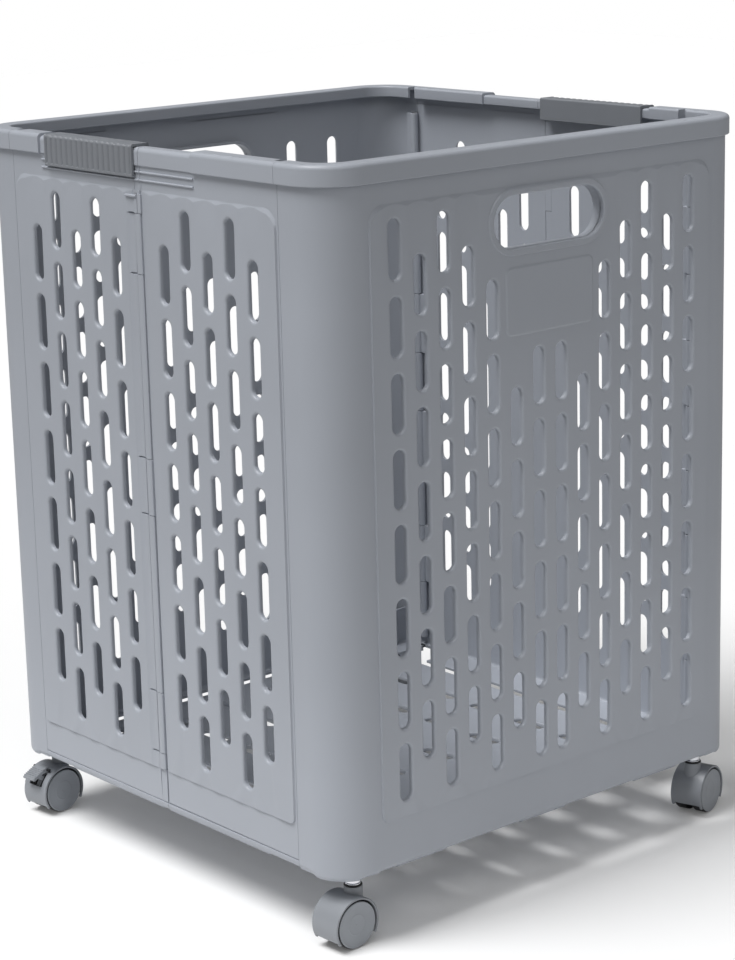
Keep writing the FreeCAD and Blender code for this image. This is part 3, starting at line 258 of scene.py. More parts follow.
HOOD_WALL = 1.6
HOOD_HALF_WIDTH = 13.0
HOOD_OVER_WHEEL = 2.45
HOOD_CHAMFER = 0.5
HOOD_FRONT_EDGE = 9.6       # height of the hood's edge ahead of the stem
HOOD_REAR_EDGE = 8.4
HOOD_WINDOW = (20.0, 54.0)  # angles between which the brake pedal stands out
HOOD_WINDOW_HALF_WIDTH = 7.4
HOOD_WEB_HALF = 2.2
BOSS_RADIUS = 6.7
BOSS_OVER_WHEEL = 7.0
BOSS_SKIRT = 6.5
BOSS_ROUND = 0.6
PEDAL_HALF_WIDTH = 6.6
PEDAL_RIBS = 6
PEDAL_RIB_PITCH = 1.8
PEDAL_PIVOT_ANGLE = 60.0
PEDAL_PIVOT_OUT = 2.2       # from the hood
PEDAL_PITCH = -25.0
SHOE_ANGLE = 40.0
SHOE_GAP = 2.2              # from the tread
DISC_INSET = 0.65           # of the disc's edge from the tread
DISC_FACE = 12.6
TREAD_INNER = 2.9
TREAD_OUTER = 11.6
TREAD_ROUND = 0.8
WHEEL_STEPS = 56
RING_RADIUS = 5.9
RING_HEIGHT = 8.3
SHANK_RADIUS = 4.7
SHANK_HEIGHT = 26.0


# ---------------------------------------------------------------- mesh building
def linked(name, data):
    obj = bpy.data.objects.new(name, data)
    bpy.context.scene.collection.objects.link(obj)
    return obj


def piece(name, shells, material, body, nodes=None, bevel=0.0, smooth=50.0):
    """One object from closed shells of (vertices, faces).  nodes names the CAD nodes that it replaces."""
    vertices = []
    faces = []
    for shell_vertices, shell_faces in shells:
        first = len(vertices)
        vertices += [tuple(value * MM for value in vertex) for vertex in shell_vertices]
        faces += [tuple(first + index for index in face) for face in shell_faces]
    mesh = bpy.data.meshes.new(name)
    mesh.from_pydata(vertices, [], faces)
    mesh.validate()
    mesh.shade_smooth()
    mesh.set_sharp_from_angle(angle=math.radians(smooth))
    mesh.materials.append(material)
    obj = linked(name, mesh)
    if bevel:
        edge = obj.modifiers.new("edges", "BEVEL")
        edge.width = bevel * MM
        edge.segments = 2
        edge.limit_method = "ANGLE"
        edge.angle_limit = math.radians(smooth)
    normals = obj.modifiers.new("normals", "WEIGHTED_NORMAL")
    normals.keep_sharp = True
    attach(obj, body)
    if nodes is not None:
        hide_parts(*nodes)


def moulding(name, degrees, plastic, parts):
    """Pieces of one moulding, turned into place.  A part is (suffix, shells, bevel), the wall first."""
    for number, (suffix, shells, bevel) in enumerate(parts):
        piece(f"{name}_{suffix}", [turned(shell, degrees) for shell in shells], plastic, name,
              [name] if number == 0 else None, bevel)


def outward_faces(vertices, faces):
    """The same shell with its faces turned so that it encloses a positive volume."""
    volume = 0.0
    for face in faces:
        a = vertices[face[0]]
        for i in range(1, len(face) - 1):
            volume += a.dot(vertices[face[i]].cross(vertices[face[i + 1]]))
    if volume < 0:
        faces = [tuple(reversed(face)) for face in faces]
    return vertices, faces


def skinned(vertices, count, closed=False):
    """Closed shell through rows of count points each."""
    rows = len(vertices) // count
    faces = []
    for row in range(rows if closed else rows - 1):
        here = row * count
        after = (row + 1) % rows * count
        for i in range(count):
            j = (i + 1) % count
            faces.append((here + i, here + j, after + j, after + i))
    if not closed:
        faces.append(tuple(reversed(range(count))))
        faces.append(tuple(range((rows - 1) * count, rows * count)))
    return outward_faces(vertices, faces)


def sweep(path, profile, closed=False):
    """Closed profile of (out, up), carried along a path of (place, outward, upward)."""
    vertices = []
    for place, outward, upward in path:
        vertices += [place + outward * out + upward * up for out, up in profile]
    return skinned(vertices, len(profile), closed)


def arc(centre, radius, start, end, steps):
    """Points of an arc, ends included.  Angles are in degrees."""
    points = []
    for step in range(steps + 1):
        angle = math.radians(start + (end - start) * step / steps)
        points.append((centre[0] + radius * math.cos(angle), centre[1] + radius * math.sin(angle)))
    return points


def lathe(origin, axis, profile, steps=48, start=0.0, end=360.0, zero=None):
    """Closed profile of (radius, along) turned about an axis.  zero is the direction of angle 0."""
    zero = zero or axis.orthogonal().normalized()
    side = axis.cross(zero)
    whole = abs(end - start) >= 360.0
    path = []
    for step in range(steps if whole else steps + 1):
        angle = math.radians(start + (end - start) * step / steps)
        path.append((origin, zero * math.cos(angle) + side * math.sin(angle), axis))
    return sweep(path, profile, whole)


def point(x, y, z):
    return Vector((x, y, z))


def prism(outline, low, high, place=point):
    """Closed outline in a plane, given thickness.  place(a, b, c) turns its coordinates into a point."""
    vertices = [place(a, b, level) for level in (low, high) for a, b in outline]
    return skinned(vertices, len(outline))


def rectangle(low, high):
    return [(low[0], low[1]), (high[0], low[1]), (high[0], high[1]), (low[0], high[1])]


def block(low, high):
    return prism(rectangle(low, high), low[2], high[2])


def rounded_section(half_a, half_b, radius, steps=4):
    """Outline of a rectangle with round corners, about the middle."""
    points = []
    for sign_a, sign_b, start in CORNERS:
        centre = (sign_a * (half_a - radius), sign_b * (half_b - radius))
        points += arc(centre, radius, start, start + 90, steps)
    return points


def turned(shell, degrees):
    """Copy of a shell, turned about the trolley's vertical centre line."""
    turn = Matrix.Rotation(math.radians(degrees), 3, "Z")
    return [turn @ vertex for vertex in shell[0]], shell[1]


# ---------------------------------------------------------------- walls with slots
class Lines:
    """Points and the edges between them, in a wall's own plane."""

    def __init__(self):
        self.points = []
        self.edges = []

    def add(self, points, closed=True):
        first = len(self.points)
        count = len(points)
        self.points += [Vector(place) for place in points]
        self.edges += [(first + i, first + (i + 1) % count) for i in range(count if closed else count - 1)]


def stadium(centre, half_width, half_length, grow=0.0, steps=12, level=False):
    """Outline of a slot.  It stands upright, or lies along u if level is true."""
    radius = half_width + grow
    reach = half_length - half_width
    points = arc((0.0, reach), radius, 0, 180, steps)
    points += [(-radius, reach * share) for share in (1 / 3, -1 / 3)]
    points += arc((0.0, -reach), radius, 180, 360, steps)
    points += [(radius, reach * share) for share in (-1 / 3, 1 / 3)]
    if level:
        points = [(v, -u) for u, v in points]
    return [(centre[0] + u, centre[1] + v) for u, v in points]


def stadium_distance(u, v, centre, half_width, half_length, level=False):
    across = u - centre[0]
    along = v - centre[1]
    if level:
        across, along = along, across
    return np.hypot(across, np.maximum(np.abs(along) - half_length + half_width, 0)) - half_width


def edge_round(distance, radius):
    """Height lost beside a hole's rounded edge."""
    inward = np.clip(radius - distance, 0, radius)
    return np.sqrt(radius ** 2 - inward ** 2) - radius


def smoothstep(low, high, value):
    share = np.clip((value - low) / (high - low), 0, 1)
    return share * share * (3 - 2 * share)


class Slots:
    """Upright slots of one size in a wall."""

    def __init__(self, centres, half_length=SLOT_HALF_LENGTH):
        self.centres = centres
        self.half_length = half_length

    @classmethod
    def in_columns(cls, columns, first_top, column_places):
        """Slots of staggered columns.  A column is (offset in pitches, count), its u is in column_places."""
        return cls([(u, first_top - (offset + row) * SLOT_PITCH - SLOT_HALF_LENGTH)
                    for places in column_places for u, (offset, count) in zip(places, columns)
                    for row in range(count)])

    def lines(self):
        """Lines for the outline and the rounded edge of each slot."""
        lines = Lines()
        rings = [SLOT_EDGE_RADIUS * (1 - math.cos(math.radians(angle))) for angle in (0, 30, 60, 90)]
        for centre in self.centres:
            for grow in rings + [SLOT_EDGE_RADIUS + GUARD]:
                lines.add(stadium(centre, SLOT_HALF_WIDTH, self.half_length, grow))
        return lines

    def distance(self, u, v):
        """Distance to the nearest slot, negative inside it."""
        nearest = np.full(len(u), 1e3)
        for centre in self.centres:
            nearest = np.minimum(nearest, stadium_distance(u, v, centre, SLOT_HALF_WIDTH, self.half_length))
        return nearest

    def rounding(self, u, v):
        return edge_round(self.distance(u, v), SLOT_EDGE_RADIUS)


class Field:
    """Raised rectangle on a wall, with a gentle slope along its top."""

    def __init__(self, u_low, u_high, v_low, v_high):
        self.centre = ((u_low + u_high) / 2, (v_low + v_high) / 2)
        self.half = ((u_high - u_low) / 2, (v_high - v_low) / 2)

    def outline(self, inward):
        """Border line.  inward is the share of the slope outside the line, a number or a function of u."""
        points = []
        for sign_u, sign_v, start in CORNERS:
            radius = FIELD_TOP_CORNER if sign_v > 0 else FIELD_LOW_CORNER
            corner = (self.centre[0] + sign_u * (self.half[0] - radius),
                      self.centre[1] + sign_v * (self.half[1] - radius))
            for angle in range(start, start + 91, 10):
                turn = math.radians(angle)
                points.append((corner[0] + radius * math.cos(turn), corner[1] + radius * math.sin(turn),
                               math.cos(turn), math.sin(turn)))
            if start in (0, 180):
                length = 2 * (self.half[0] - radius)
                steps = int(length / FIELD_SPACING)
                level = self.centre[1] + sign_v * self.half[1]
                points += [(corner[0] - sign_u * length * step / steps, level, 0.0, sign_v)
                           for step in range(1, steps)]
        moved = []
        for u, v, normal_u, normal_v in points:
            width = FIELD_EDGE + (FIELD_TOP_EDGE - FIELD_EDGE) * max(normal_v, 0.0)
            step = width * inward(u) if callable(inward) else inward
            moved.append((u - normal_u * step, v - normal_v * step))
        return moved

    def borders(self, flute):
        """Border lines at the foot and the head of the slope, each with one more beside it."""
        top = np.array([self.centre[1] + self.half[1]])

        def share(u):
            return float(1 + flute(np.array([u]), top)[0])

        return [self.outline(inward) for inward in (0.0, -GUARD, share, lambda u: share(u) + 0.3)]

    def slope(self, u, v):
        """Height of the sloping border, without its upper limit."""
        radius = np.where(v > self.centre[1], FIELD_TOP_CORNER, FIELD_LOW_CORNER)
        beside_u = np.abs(u - self.centre[0]) - self.half[0] + radius
        beside_v = np.abs(v - self.centre[1]) - self.half[1] + radius
        outside = np.hypot(np.maximum(beside_u, 0), np.maximum(beside_v, 0))
        distance = outside + np.minimum(np.maximum(beside_u, beside_v), 0) - radius
        in_corner = (beside_u > 0) & (beside_v > 0)
        upward = np.where(in_corner, beside_v / np.maximum(outside, 1e-9), beside_v > beside_u)
        upward = np.where(v > self.centre[1], upward, 0.0)
        width = FIELD_EDGE + (FIELD_TOP_EDGE - FIELD_EDGE) * upward
        return -FIELD_RAISE * distance / width

    def height(self, u, v, flute):
        return np.clip(np.minimum(self.slope(u, v), FIELD_RAISE + flute(u, v)), 0, None)


def triangulate(points, edges, holes):
    """Triangles between the lines, without those inside a hole.  A hole is a distance function."""
    result = delaunay_2d_cdt(points, edges, [], 0, 1e-4, True)
    places = np.array([tuple(place) for place in result[0]])
    triangles = np.array(result[2])
    middle = places[triangles].mean(axis=1)
    keep = np.ones(len(triangles), bool)
    for hole in holes:
        keep &= hole(middle[:, 0], middle[:, 1]) > -1e-3
    return places, triangles[keep], result[3]


def plate(lines, limits, holes, height, back, place):
    """Closed shell of a wall.  height(u, v) is its outer face, back its flat inner face."""
    u_low, u_high, v_low, v_high = limits
    lines.add(rectangle((u_low, v_low), (u_high, v_high)))
    places, front, _ = triangulate(lines.points, lines.edges, holes)
    inside = (places[:, 0] > u_low - 1e-3) & (places[:, 0] < u_high + 1e-3)
    front = front[inside[front].all(axis=1)]
    counts = {}
    for face in front:
        for edge in zip(face, np.roll(face, -1)):
            key = (min(edge), max(edge))
            counts[key] = counts.get(key, 0) + 1
    rim = [edge for edge, count in counts.items() if count == 1]
    used = sorted({index for edge in rim for index in edge})
    number = {index: position for position, index in enumerate(used)}
    back_places, back_faces, origins = triangulate([Vector(places[index]) for index in used],
                                                   [(number[a], number[b]) for a, b in rim], holes)
    first_back = len(places)
    back_of = {}
    for position, sources in enumerate(origins):
        for source in sources:
            back_of[used[source]] = first_back + position
    heights = height(places[:, 0], places[:, 1])
    vertices = [place(u, v, p) for (u, v), p in zip(places, heights)]
    vertices += [place(u, v, back) for u, v in back_places]
    faces = [tuple(int(index) for index in face) for face in front]
    faces += [tuple(first_back + int(index) for index in reversed(face)) for face in back_faces]
    directed = {(int(a), int(b)) for face in front for a, b in zip(face, np.roll(face, -1))}
    for a, b in rim:
        a, b = int(a), int(b)
        if (a, b) not in directed:
            a, b = b, a
        faces.append((b, a, back_of[a], back_of[b]))
    kept = sorted({index for face in faces for index in face})
    renumber = {index: position for position, index in enumerate(kept)}
    return outward_faces([vertices[index] for index in kept],
                         [tuple(renumber[index] for index in face) for face in faces])


def ridge_lines(lines, ridges, high):
    """Upright lines where two flutes meet and halfway to the slots."""
    steps = int((high - FLUTE_LOW) / RIDGE_SPACING)
    for u in ridges:
        lines.add([(u, FLUTE_LOW + (high - FLUTE_LOW) * step / steps) for step in range(steps + 1)],
                  closed=False)


def fluted_height(column, v, fluted):
    """Depth of the shallow flutes that end in scallops at a field's top.  column counts slot columns."""
    hollow = 1 - (2 * (column % 1.0) - 1) ** 2
    return -FLUTE_DEPTH * hollow * smoothstep(FLUTE_LOW, FLUTE_HIGH, v) * fluted


# ---------------------------------------------------------------- end shells, made at -Y
def end_place(u, v, proud):
    return Vector((u, -HALF_DEPTH - proud, v))


def end_flute(u, v):
    column = np.abs(u) / END_COLUMN_PITCH
    return fluted_height(column, v, (column > END_FLUTED_FROM) & (column < len(END_COLUMNS)))


def label_outline(grow):
    section = rounded_section(LABEL_HALF_LENGTH + grow, LABEL_HALF_HEIGHT + grow, LABEL_CORNER + grow)
    return [(u, v + LABEL_Z) for u, v in section]


def label_height(u, v):
    """Height of the blank raised plate for a label."""
    beside_u = np.abs(u) - LABEL_HALF_LENGTH + LABEL_CORNER
    beside_v = np.abs(v - LABEL_Z) - LABEL_HALF_HEIGHT + LABEL_CORNER
    distance = np.hypot(np.maximum(beside_u, 0), np.maximum(beside_v, 0)) - LABEL_CORNER
    distance = distance + np.minimum(np.maximum(beside_u, beside_v), 0)
    return LABEL_RAISE * np.clip(1 - distance / GUARD, 0, 1)


def end_wall():
    """Flat wall of an end shell with its raised field, slots, hand hole and label plate."""
    columns = len(END_COLUMNS)
    slots = Slots.in_columns(END_COLUMNS, END_SLOT_TOP,
                             [[side * (columns - n - 0.5) * END_COLUMN_PITCH for n in range(columns)]
                              for side in (-1, 1)])
    field = Field(-END_FIELD_HALF_WIDTH, END_FIELD_HALF_WIDTH, END_FIELD_LOW, END_FIELD_HIGH)

    def height(u, v):
        from_hand = stadium_distance(u, v, **HAND)
        bead = HAND_BEAD_RAISE * np.clip((HAND_BEAD_WIDTH - from_hand) / GUARD, 0, 1)
        return (field.height(u, v, end_flute) + label_height(u, v) + bead
                + edge_round(from_hand, HAND_EDGE_RADIUS) + slots.rounding(u, v))

    lines = slots.lines()
    for border in field.borders(end_flute):
        lines.add(border)
    for grow in (0.0, 0.16, 0.6, 1.2, 2.0, HAND_BEAD_WIDTH - GUARD, HAND_BEAD_WIDTH, HAND_BEAD_WIDTH + GUARD):
        lines.add(stadium(**HAND, grow=grow, steps=HAND_STEPS))
    for grow in (-GUARD, 0.0, GUARD, 2 * GUARD):
        lines.add(label_outline(grow))
    ridges = [side * (number * END_COLUMN_PITCH + shift) for side in (-1, 1)
              for number in range(END_FLUTED_FROM, columns + 1) for shift in RIDGE_SHIFTS]
    ridge_lines(lines, ridges, END_FIELD_HIGH - RIDGE_BELOW_FIELD)
    edge = HALF_WIDTH - CORNER_RADIUS
    holes = [slots.distance, lambda u, v: stadium_distance(u, v, **HAND)]
    return plate(lines, (-edge, edge, SKIRT_TOP, WALL_TOP), holes, height, -WALL, end_place)


def hand_lip():
    """Inner collar of a hand hole."""
    path = []
    for sign, start in ((1, -90), (-1, 90)):
        middle = Vector((sign * (HAND_HALF_LENGTH - HAND_HALF_HEIGHT), -HALF_DEPTH, HAND_HOLE_Z))
        for a, b in arc((0.0, 0.0), 1.0, start, start + 180, HAND_STEPS):
            outward = Vector((a, 0, b))
            path.append((middle + outward * HAND_HALF_HEIGHT, outward, BACK))
    profile = [(0.0, WALL / 2), (HAND_LIP_WALL, WALL / 2)]
    for out, start in ((HAND_LIP_WALL - HAND_LIP_ROUND, 0), (HAND_LIP_ROUND, 90)):
        profile += arc((out, HAND_LIP_DEPTH - HAND_LIP_ROUND), HAND_LIP_ROUND, start, start + 90, 3)
    return sweep(path, profile, closed=True)


def side_line(side, depths):
    """Path points on the outer face of a side of an end shell, at distances from the trolley's middle."""
    return [(Vector((side * HALF_WIDTH, -depth, 0)), Vector((side, 0, 0)), UP) for depth in depths]


def corner_line(side):
    """Path points round one corner of an end shell."""
    middle = Vector((side * (HALF_WIDTH - CORNER_RADIUS), CORNER_RADIUS - HALF_DEPTH, 0))
    start = 180 if side < 0 else 270
    return [(middle + Vector((a, b, 0)) * CORNER_RADIUS, Vector((a, b, 0)), UP)
            for a, b in arc((0.0, 0.0), 1.0, start, start + 90, ARC_STEPS)]


def end_path(depths=(SHELL_EDGE,)):
    """Line along an end shell's outer face, from one fold line round both corners to the other."""
    return (side_line(-1, depths) + corner_line(-1) + corner_line(1) + side_line(1, reversed(depths)))


def rim_profile(inset=0.0):
    """Outline of the rim's section as (out of the wall, height)."""
    outer = RIM_PROUD - inset
    inner = RIM_PROUD - RIM_WIDTH + inset
    top = BODY_TOP - inset
    lip_bottom = BODY_TOP - RIM_LIP_DROP
    points = arc((outer - RIM_FOOT_RADIUS, RIM_BOTTOM + RIM_FOOT_RADIUS), RIM_FOOT_RADIUS, -90, 0, 3)
    points += arc((outer - RIM_OUTER_RADIUS, top - RIM_OUTER_RADIUS), RIM_OUTER_RADIUS, 0, 90, 7)
    points += arc((inner + RIM_INNER_RADIUS, top - RIM_INNER_RADIUS), RIM_INNER_RADIUS, 90, 180, 5)
    points += [(inner, lip_bottom + RIM_LIP_CHAMFER), (inner + RIM_LIP_CHAMFER, lip_bottom),
               (inner + RIM_LIP_WALL, lip_bottom), (inner + RIM_LIP_WALL, top - RIM_TOP_WALL),
               (-WALL, top - RIM_TOP_WALL), (-WALL, RIM_BOTTOM)]
    return points


def skirt_profile(top, flange, groove=()):
    """Bottom of a wall, curled in to a narrow flange.  groove holds points that set off a lip."""
    points = [(0.0, top), *groove]
    points += arc((-SKIRT_RADIUS, BODY_BOTTOM + SKIRT_RADIUS), SKIRT_RADIUS, 0, -90, 6)
    points += [(-flange, BODY_BOTTOM), (-flange, BODY_BOTTOM + FLANGE_WALL)]
    points += arc((-WALL - SKIRT_INNER_RADIUS, BODY_BOTTOM + FLANGE_WALL + SKIRT_INNER_RADIUS),
                  SKIRT_INNER_RADIUS, -90, 0, 4)
    return points + [(-WALL, top)]


def end_skirt():
    """Bottom of an end shell, with a shallow foot under each corner."""
    path = end_path([SHELL_EDGE] + [SHELL_EDGE + FOOT_LEAD + step * FOOT_LEAD_STEP for step in range(6)])
    profile = skirt_profile(SKIRT_TOP, SKIRT_FLANGE)
    vertices, faces = sweep(path, profile)
    for index, vertex in enumerate(vertices):
        place = path[index // len(profile)][0]
        drop = FOOT_HEIGHT * smoothstep(*FOOT_SIDE_SPAN, -place.y) * smoothstep(*FOOT_END_SPAN, abs(place.x))
        share = (SKIRT_TOP - vertex.z) / (SKIRT_TOP - BODY_BOTTOM)
        vertex.z -= drop * smoothstep(0.0, 0.75, share)
    return vertices, faces


def corner_skins():
    """Plain upright skin of the two corners of an end shell."""
    profile = [(0.0, SKIRT_TOP), (0.0, WALL_TOP), (-WALL, WALL_TOP), (-WALL, SKIRT_TOP)]
    return [sweep(side_line(-1, [SHELL_EDGE]) + corner_line(-1), profile),
            sweep(corner_line(1) + side_line(1, [SHELL_EDGE]), profile)]


def corner_plate(side, inset, low, high, width):
    """Flat piece inside one corner, seen from below."""
    centre = (HALF_WIDTH - CORNER_RADIUS, CORNER_RADIUS - HALF_DEPTH)
    outline = [(HALF_WIDTH - inset, -SHELL_EDGE)]
    outline += arc(centre, CORNER_RADIUS - inset, 0, -90, ARC_STEPS)
    outline += [(HALF_WIDTH - width, -HALF_DEPTH + inset), (HALF_WIDTH - width, -SHELL_EDGE)]
    return prism([(side * x, y) for x, y in outline], low, high)


def reach_in_wall(half_size, across):
    """How far a web beside a round corner may reach and still end inside the wall."""
    beside = max(across - (HALF_WIDTH - CORNER_RADIUS), 0)
    return half_size - CORNER_RADIUS + math.sqrt((CORNER_RADIUS - WALL / 2) ** 2 - beside ** 2)


def end_shell_base():
    """Corner flanges, feet, caster bosses and their webs."""
    shells = []
    stem = centre_mm("front_left_caster_stem")
    half = WALL / 2
    web_top = BOSS_TOP - 2
    profile = [(SOCKET_BOSS_RADIUS, BOSS_LOW)]
    profile += arc((SOCKET_BOSS_RADIUS - SOCKET_BOSS_ROUND, BOSS_TOP - SOCKET_BOSS_ROUND), SOCKET_BOSS_ROUND,
                   0, 90, 4)
    profile += [(AXIS_HOLE, BOSS_TOP), (AXIS_HOLE, BOSS_LOW)]
    for side in (-1, 1):
        x, y = -side * stem[0], stem[1]
        end_reach = reach_in_wall(HALF_DEPTH, abs(x) + half)
        web = sorted((x, side * reach_in_wall(HALF_WIDTH, abs(y) + half)))
        shells += [
            corner_plate(side, half, BODY_BOTTOM, BODY_BOTTOM + FLANGE_WALL, FLANGE_SIDE_WIDTH),
            corner_plate(side, SKIRT_FLANGE - 1.0, BODY_BOTTOM - FOOT_HEIGHT, BODY_BOTTOM + 1.0, FOOT_WIDTH),
            lathe(Vector((x, y, 0)), UP, profile),
            block((x - half, -end_reach, BOSS_LOW), (x + half, y, web_top)),
            block((web[0], y - half, BOSS_LOW), (web[1], y + half, web_top)),
        ]
    return shells


def barrel(origin, axis, low, high):
    """One knuckle of a hinge."""
    round_edge = KNUCKLE_RADIUS - KNUCKLE_CHAMFER
    profile = [(AXIS_HOLE, low), (round_edge, low), (KNUCKLE_RADIUS, low + KNUCKLE_CHAMFER),
               (KNUCKLE_RADIUS, high - KNUCKLE_CHAMFER), (round_edge, high), (AXIS_HOLE, high)]
    return lathe(Vector(origin), axis, profile, 24)


def corner_knuckles(parity, side, arm_direction):
    """Knuckles on the corner hinge line at -Y.  arm_direction is -1 for the shell's and 1 for the panel's."""
    shells = []
    height = (CORNER_KNUCKLE_TOP - CORNER_PIN_BOTTOM) / CORNER_KNUCKLES
    axis_x = side * CORNER_AXIS_X
    reach_x = sorted((axis_x, side * (HALF_WIDTH - WALL / 2)))
    reach_y = sorted((-FOLD_LINE, -FOLD_LINE + arm_direction * KNUCKLE_ARM))
    for number in range(parity, CORNER_KNUCKLES, 2):
        low = CORNER_PIN_BOTTOM + number * height + KNUCKLE_GAP
        high = CORNER_PIN_BOTTOM + (number + 1) * height - KNUCKLE_GAP
        shells.append(barrel((axis_x, -FOLD_LINE, 0), UP, low, high))
        shells.append(block((reach_x[0], reach_y[0], low), (reach_x[1], reach_y[1], high)))
    return shells


FLOOR_AXIS = (0.0, FLOOR_LOW[1] + KNUCKLE_RADIUS, (FLOOR_LOW[2] + FLOOR_HIGH[2]) / 2)


def floor_lugs():
    """Lugs under the front shell that hold the floor's hinge pins."""
    outline = arc(FLOOR_AXIS[1:], KNUCKLE_RADIUS, -130, 90, 14)
    outline += [(FLOOR_AXIS[1] - back, BODY_BOTTOM + 1.0) for back in (0.0, LUG_REACH)]
    shells = []
    for centre in FLOOR_KNUCKLES:
        for side in (-1, 1):
            low, high = sorted(centre + side * reach for reach in LUG_SPAN)
            shells.append(prism(outline, low, high, lambda a, b, c: Vector((c, a, b))))
    return shells


def build_end_shell(name, degrees, plastic, lugs):
    moulding(name, degrees, plastic, [
        ("wall", [end_wall()], 0.0),
        ("rim", [sweep(end_path(), rim_profile())], 0.0),
        ("skirt", [end_skirt()], 0.0),
        ("corners", corner_skins(), 0.0),
        ("hand_lip", [hand_lip()], 0.0),
        ("base", end_shell_base() + lugs, 0.4),
        ("knuckles", corner_knuckles(0, -1, -1) + corner_knuckles(0, 1, -1), 0.3),
    ])


# ---------------------------------------------------------------- folding sides, made at -X
def side_place(u, v, proud):
    return Vector((-HALF_WIDTH - proud, u, v))


def side_flute(u, v):
    column = (np.abs(u) - SIDE_FIRST_COLUMN) / SIDE_COLUMN_PITCH + 0.5
    return fluted_height(column, v, column < len(SIDE_COLUMNS))


def side_wall(direction):
    """Flat wall of a half panel.  direction is 1 for the half that carries the slider."""
    carries_slider = direction > 0
    slots = Slots.in_columns(SIDE_COLUMNS, SIDE_SLOT_TOP,
                             [[direction * (SIDE_FIRST_COLUMN + n * SIDE_COLUMN_PITCH)
                               for n in range(len(SIDE_COLUMNS))]])
    near = BARREL_EDGE + (BARREL_JOINT if carries_slider else BARREL_SEAM)
    u_low, u_high = sorted((direction * near, direction * PANEL_EDGE))
    field = Field(*sorted((-direction * FIELD_PAST_SEAM, direction * SIDE_FIELD_EDGE)),
                  SIDE_FIELD_LOW, SIDE_FIELD_HIGH)
    slits = CENTRE_ENDS[1:-1]

    def height(u, v):
        proud = field.height(u, v, side_flute) + slots.rounding(u, v)
        if not carries_slider:
            return proud - SEAM_GROOVE * (u > -near - 1.1) * (v < SIDE_FIELD_LOW - 1.0)
        along = smoothstep(CENTRE_ENDS[0], CENTRE_ENDS[0] + 4, v) * (v < CENTRE_ENDS[-2])
        groove = smoothstep(near, GROOVE_RISE[0], u) * (1 - smoothstep(GROOVE_RISE[1], GROOVE_END, u))
        groove = GROOVE_FLOOR + (1 - GROOVE_FLOOR) * groove
        proud = proud - GROOVE_DEPTH * groove * along * (u < GROOVE_END)
        for level in slits:
            slit = np.clip((SLIT_HALF - np.abs(v - level)) / SLIT_SLOPE, 0, 1)
            proud = proud - SLIT_DEPTH * slit * np.clip((SLIT_END - u) / SLIT_END_SLOPE, 0, 1)
        return proud

    lines = slots.lines()
    for border in field.borders(side_flute):
        border = [(u, v) for u, v in border if u_low + 0.3 < u < u_high - 0.3]
        start = max(range(len(border)), key=lambda i: abs(border[i][0] - border[i - 1][0]))
        lines.add(border[start:] + border[:start], closed=False)
    ridges = [direction * (SIDE_FIRST_COLUMN + (number - 0.5) * SIDE_COLUMN_PITCH + shift)
              for number in range(len(SIDE_COLUMNS) + 1) for shift in RIDGE_SHIFTS]
    ridge_lines(lines, ridges, SIDE_FIELD_HIGH - RIDGE_BELOW_FIELD)
    if carries_slider:
        for u in GROOVE_LINES:
            ends = (CENTRE_ENDS[0] - 2, CENTRE_ENDS[0] + 4, CENTRE_ENDS[-2] - 1.0)
            lines.add([(u, v) for v in ends], closed=False)
        for level in slits:
            for offset in (-SLIT_HALF, SLIT_SLOPE - SLIT_HALF, SLIT_HALF - SLIT_SLOPE, SLIT_HALF):
                lines.add([(u, level + offset) for u in (near + 0.3, SLIT_END - SLIT_END_SLOPE, SLIT_END)],
                          closed=False)
    else:
        for u in (-near - 1.0, -near - 1.3):
            lines.add([(u, PANEL_SKIRT_TOP + 0.3), (u, SIDE_FIELD_LOW - 1.2)], closed=False)
    return plate(lines, (u_low, u_high, PANEL_SKIRT_TOP, WALL_TOP), [slots.distance], height, -WALL,
                 side_place)


def barrel_section(direction):
    """Section of the centre hinge's barrel as (proud, u), joined to its own half panel's wall."""
    joint = BARREL_EDGE + (BARREL_JOINT if direction > 0 else BARREL_SEAM)
    points = [(FIELD_RAISE - (GROOVE_DEPTH * GROOVE_FLOOR if direction > 0 else 0.0), joint)]
    for step in range(BARREL_STEPS + 1):
        u = BARREL_EDGE - 2 * BARREL_EDGE * step / BARREL_STEPS
        points.append((BARREL_PROUD * math.sqrt(1 - (u / (BARREL_EDGE + 0.35)) ** 2) + 0.1, u))
    points += [(-WALL, -BARREL_EDGE), (-WALL, BARREL_EDGE), (-WALL, joint)]
    return [(proud, direction * u) for proud, u in points]


def upright_sweep(section, low, high):
    return sweep([(Vector((-HALF_WIDTH, 0, level)), OUT, BACK) for level in (low, high)], section)


def plain_strip(proud, near, far, low, high):
    """Plain strip of wall between two places along the side and two levels."""
    return upright_sweep([(proud, far), (proud, near), (-WALL, near), (-WALL, far)], low, high)


def along_side(places, profile):
    """Profile carried along the side at -X."""
    return sweep([(Vector((-HALF_WIDTH, y, 0)), OUT, UP) for y in places], profile)


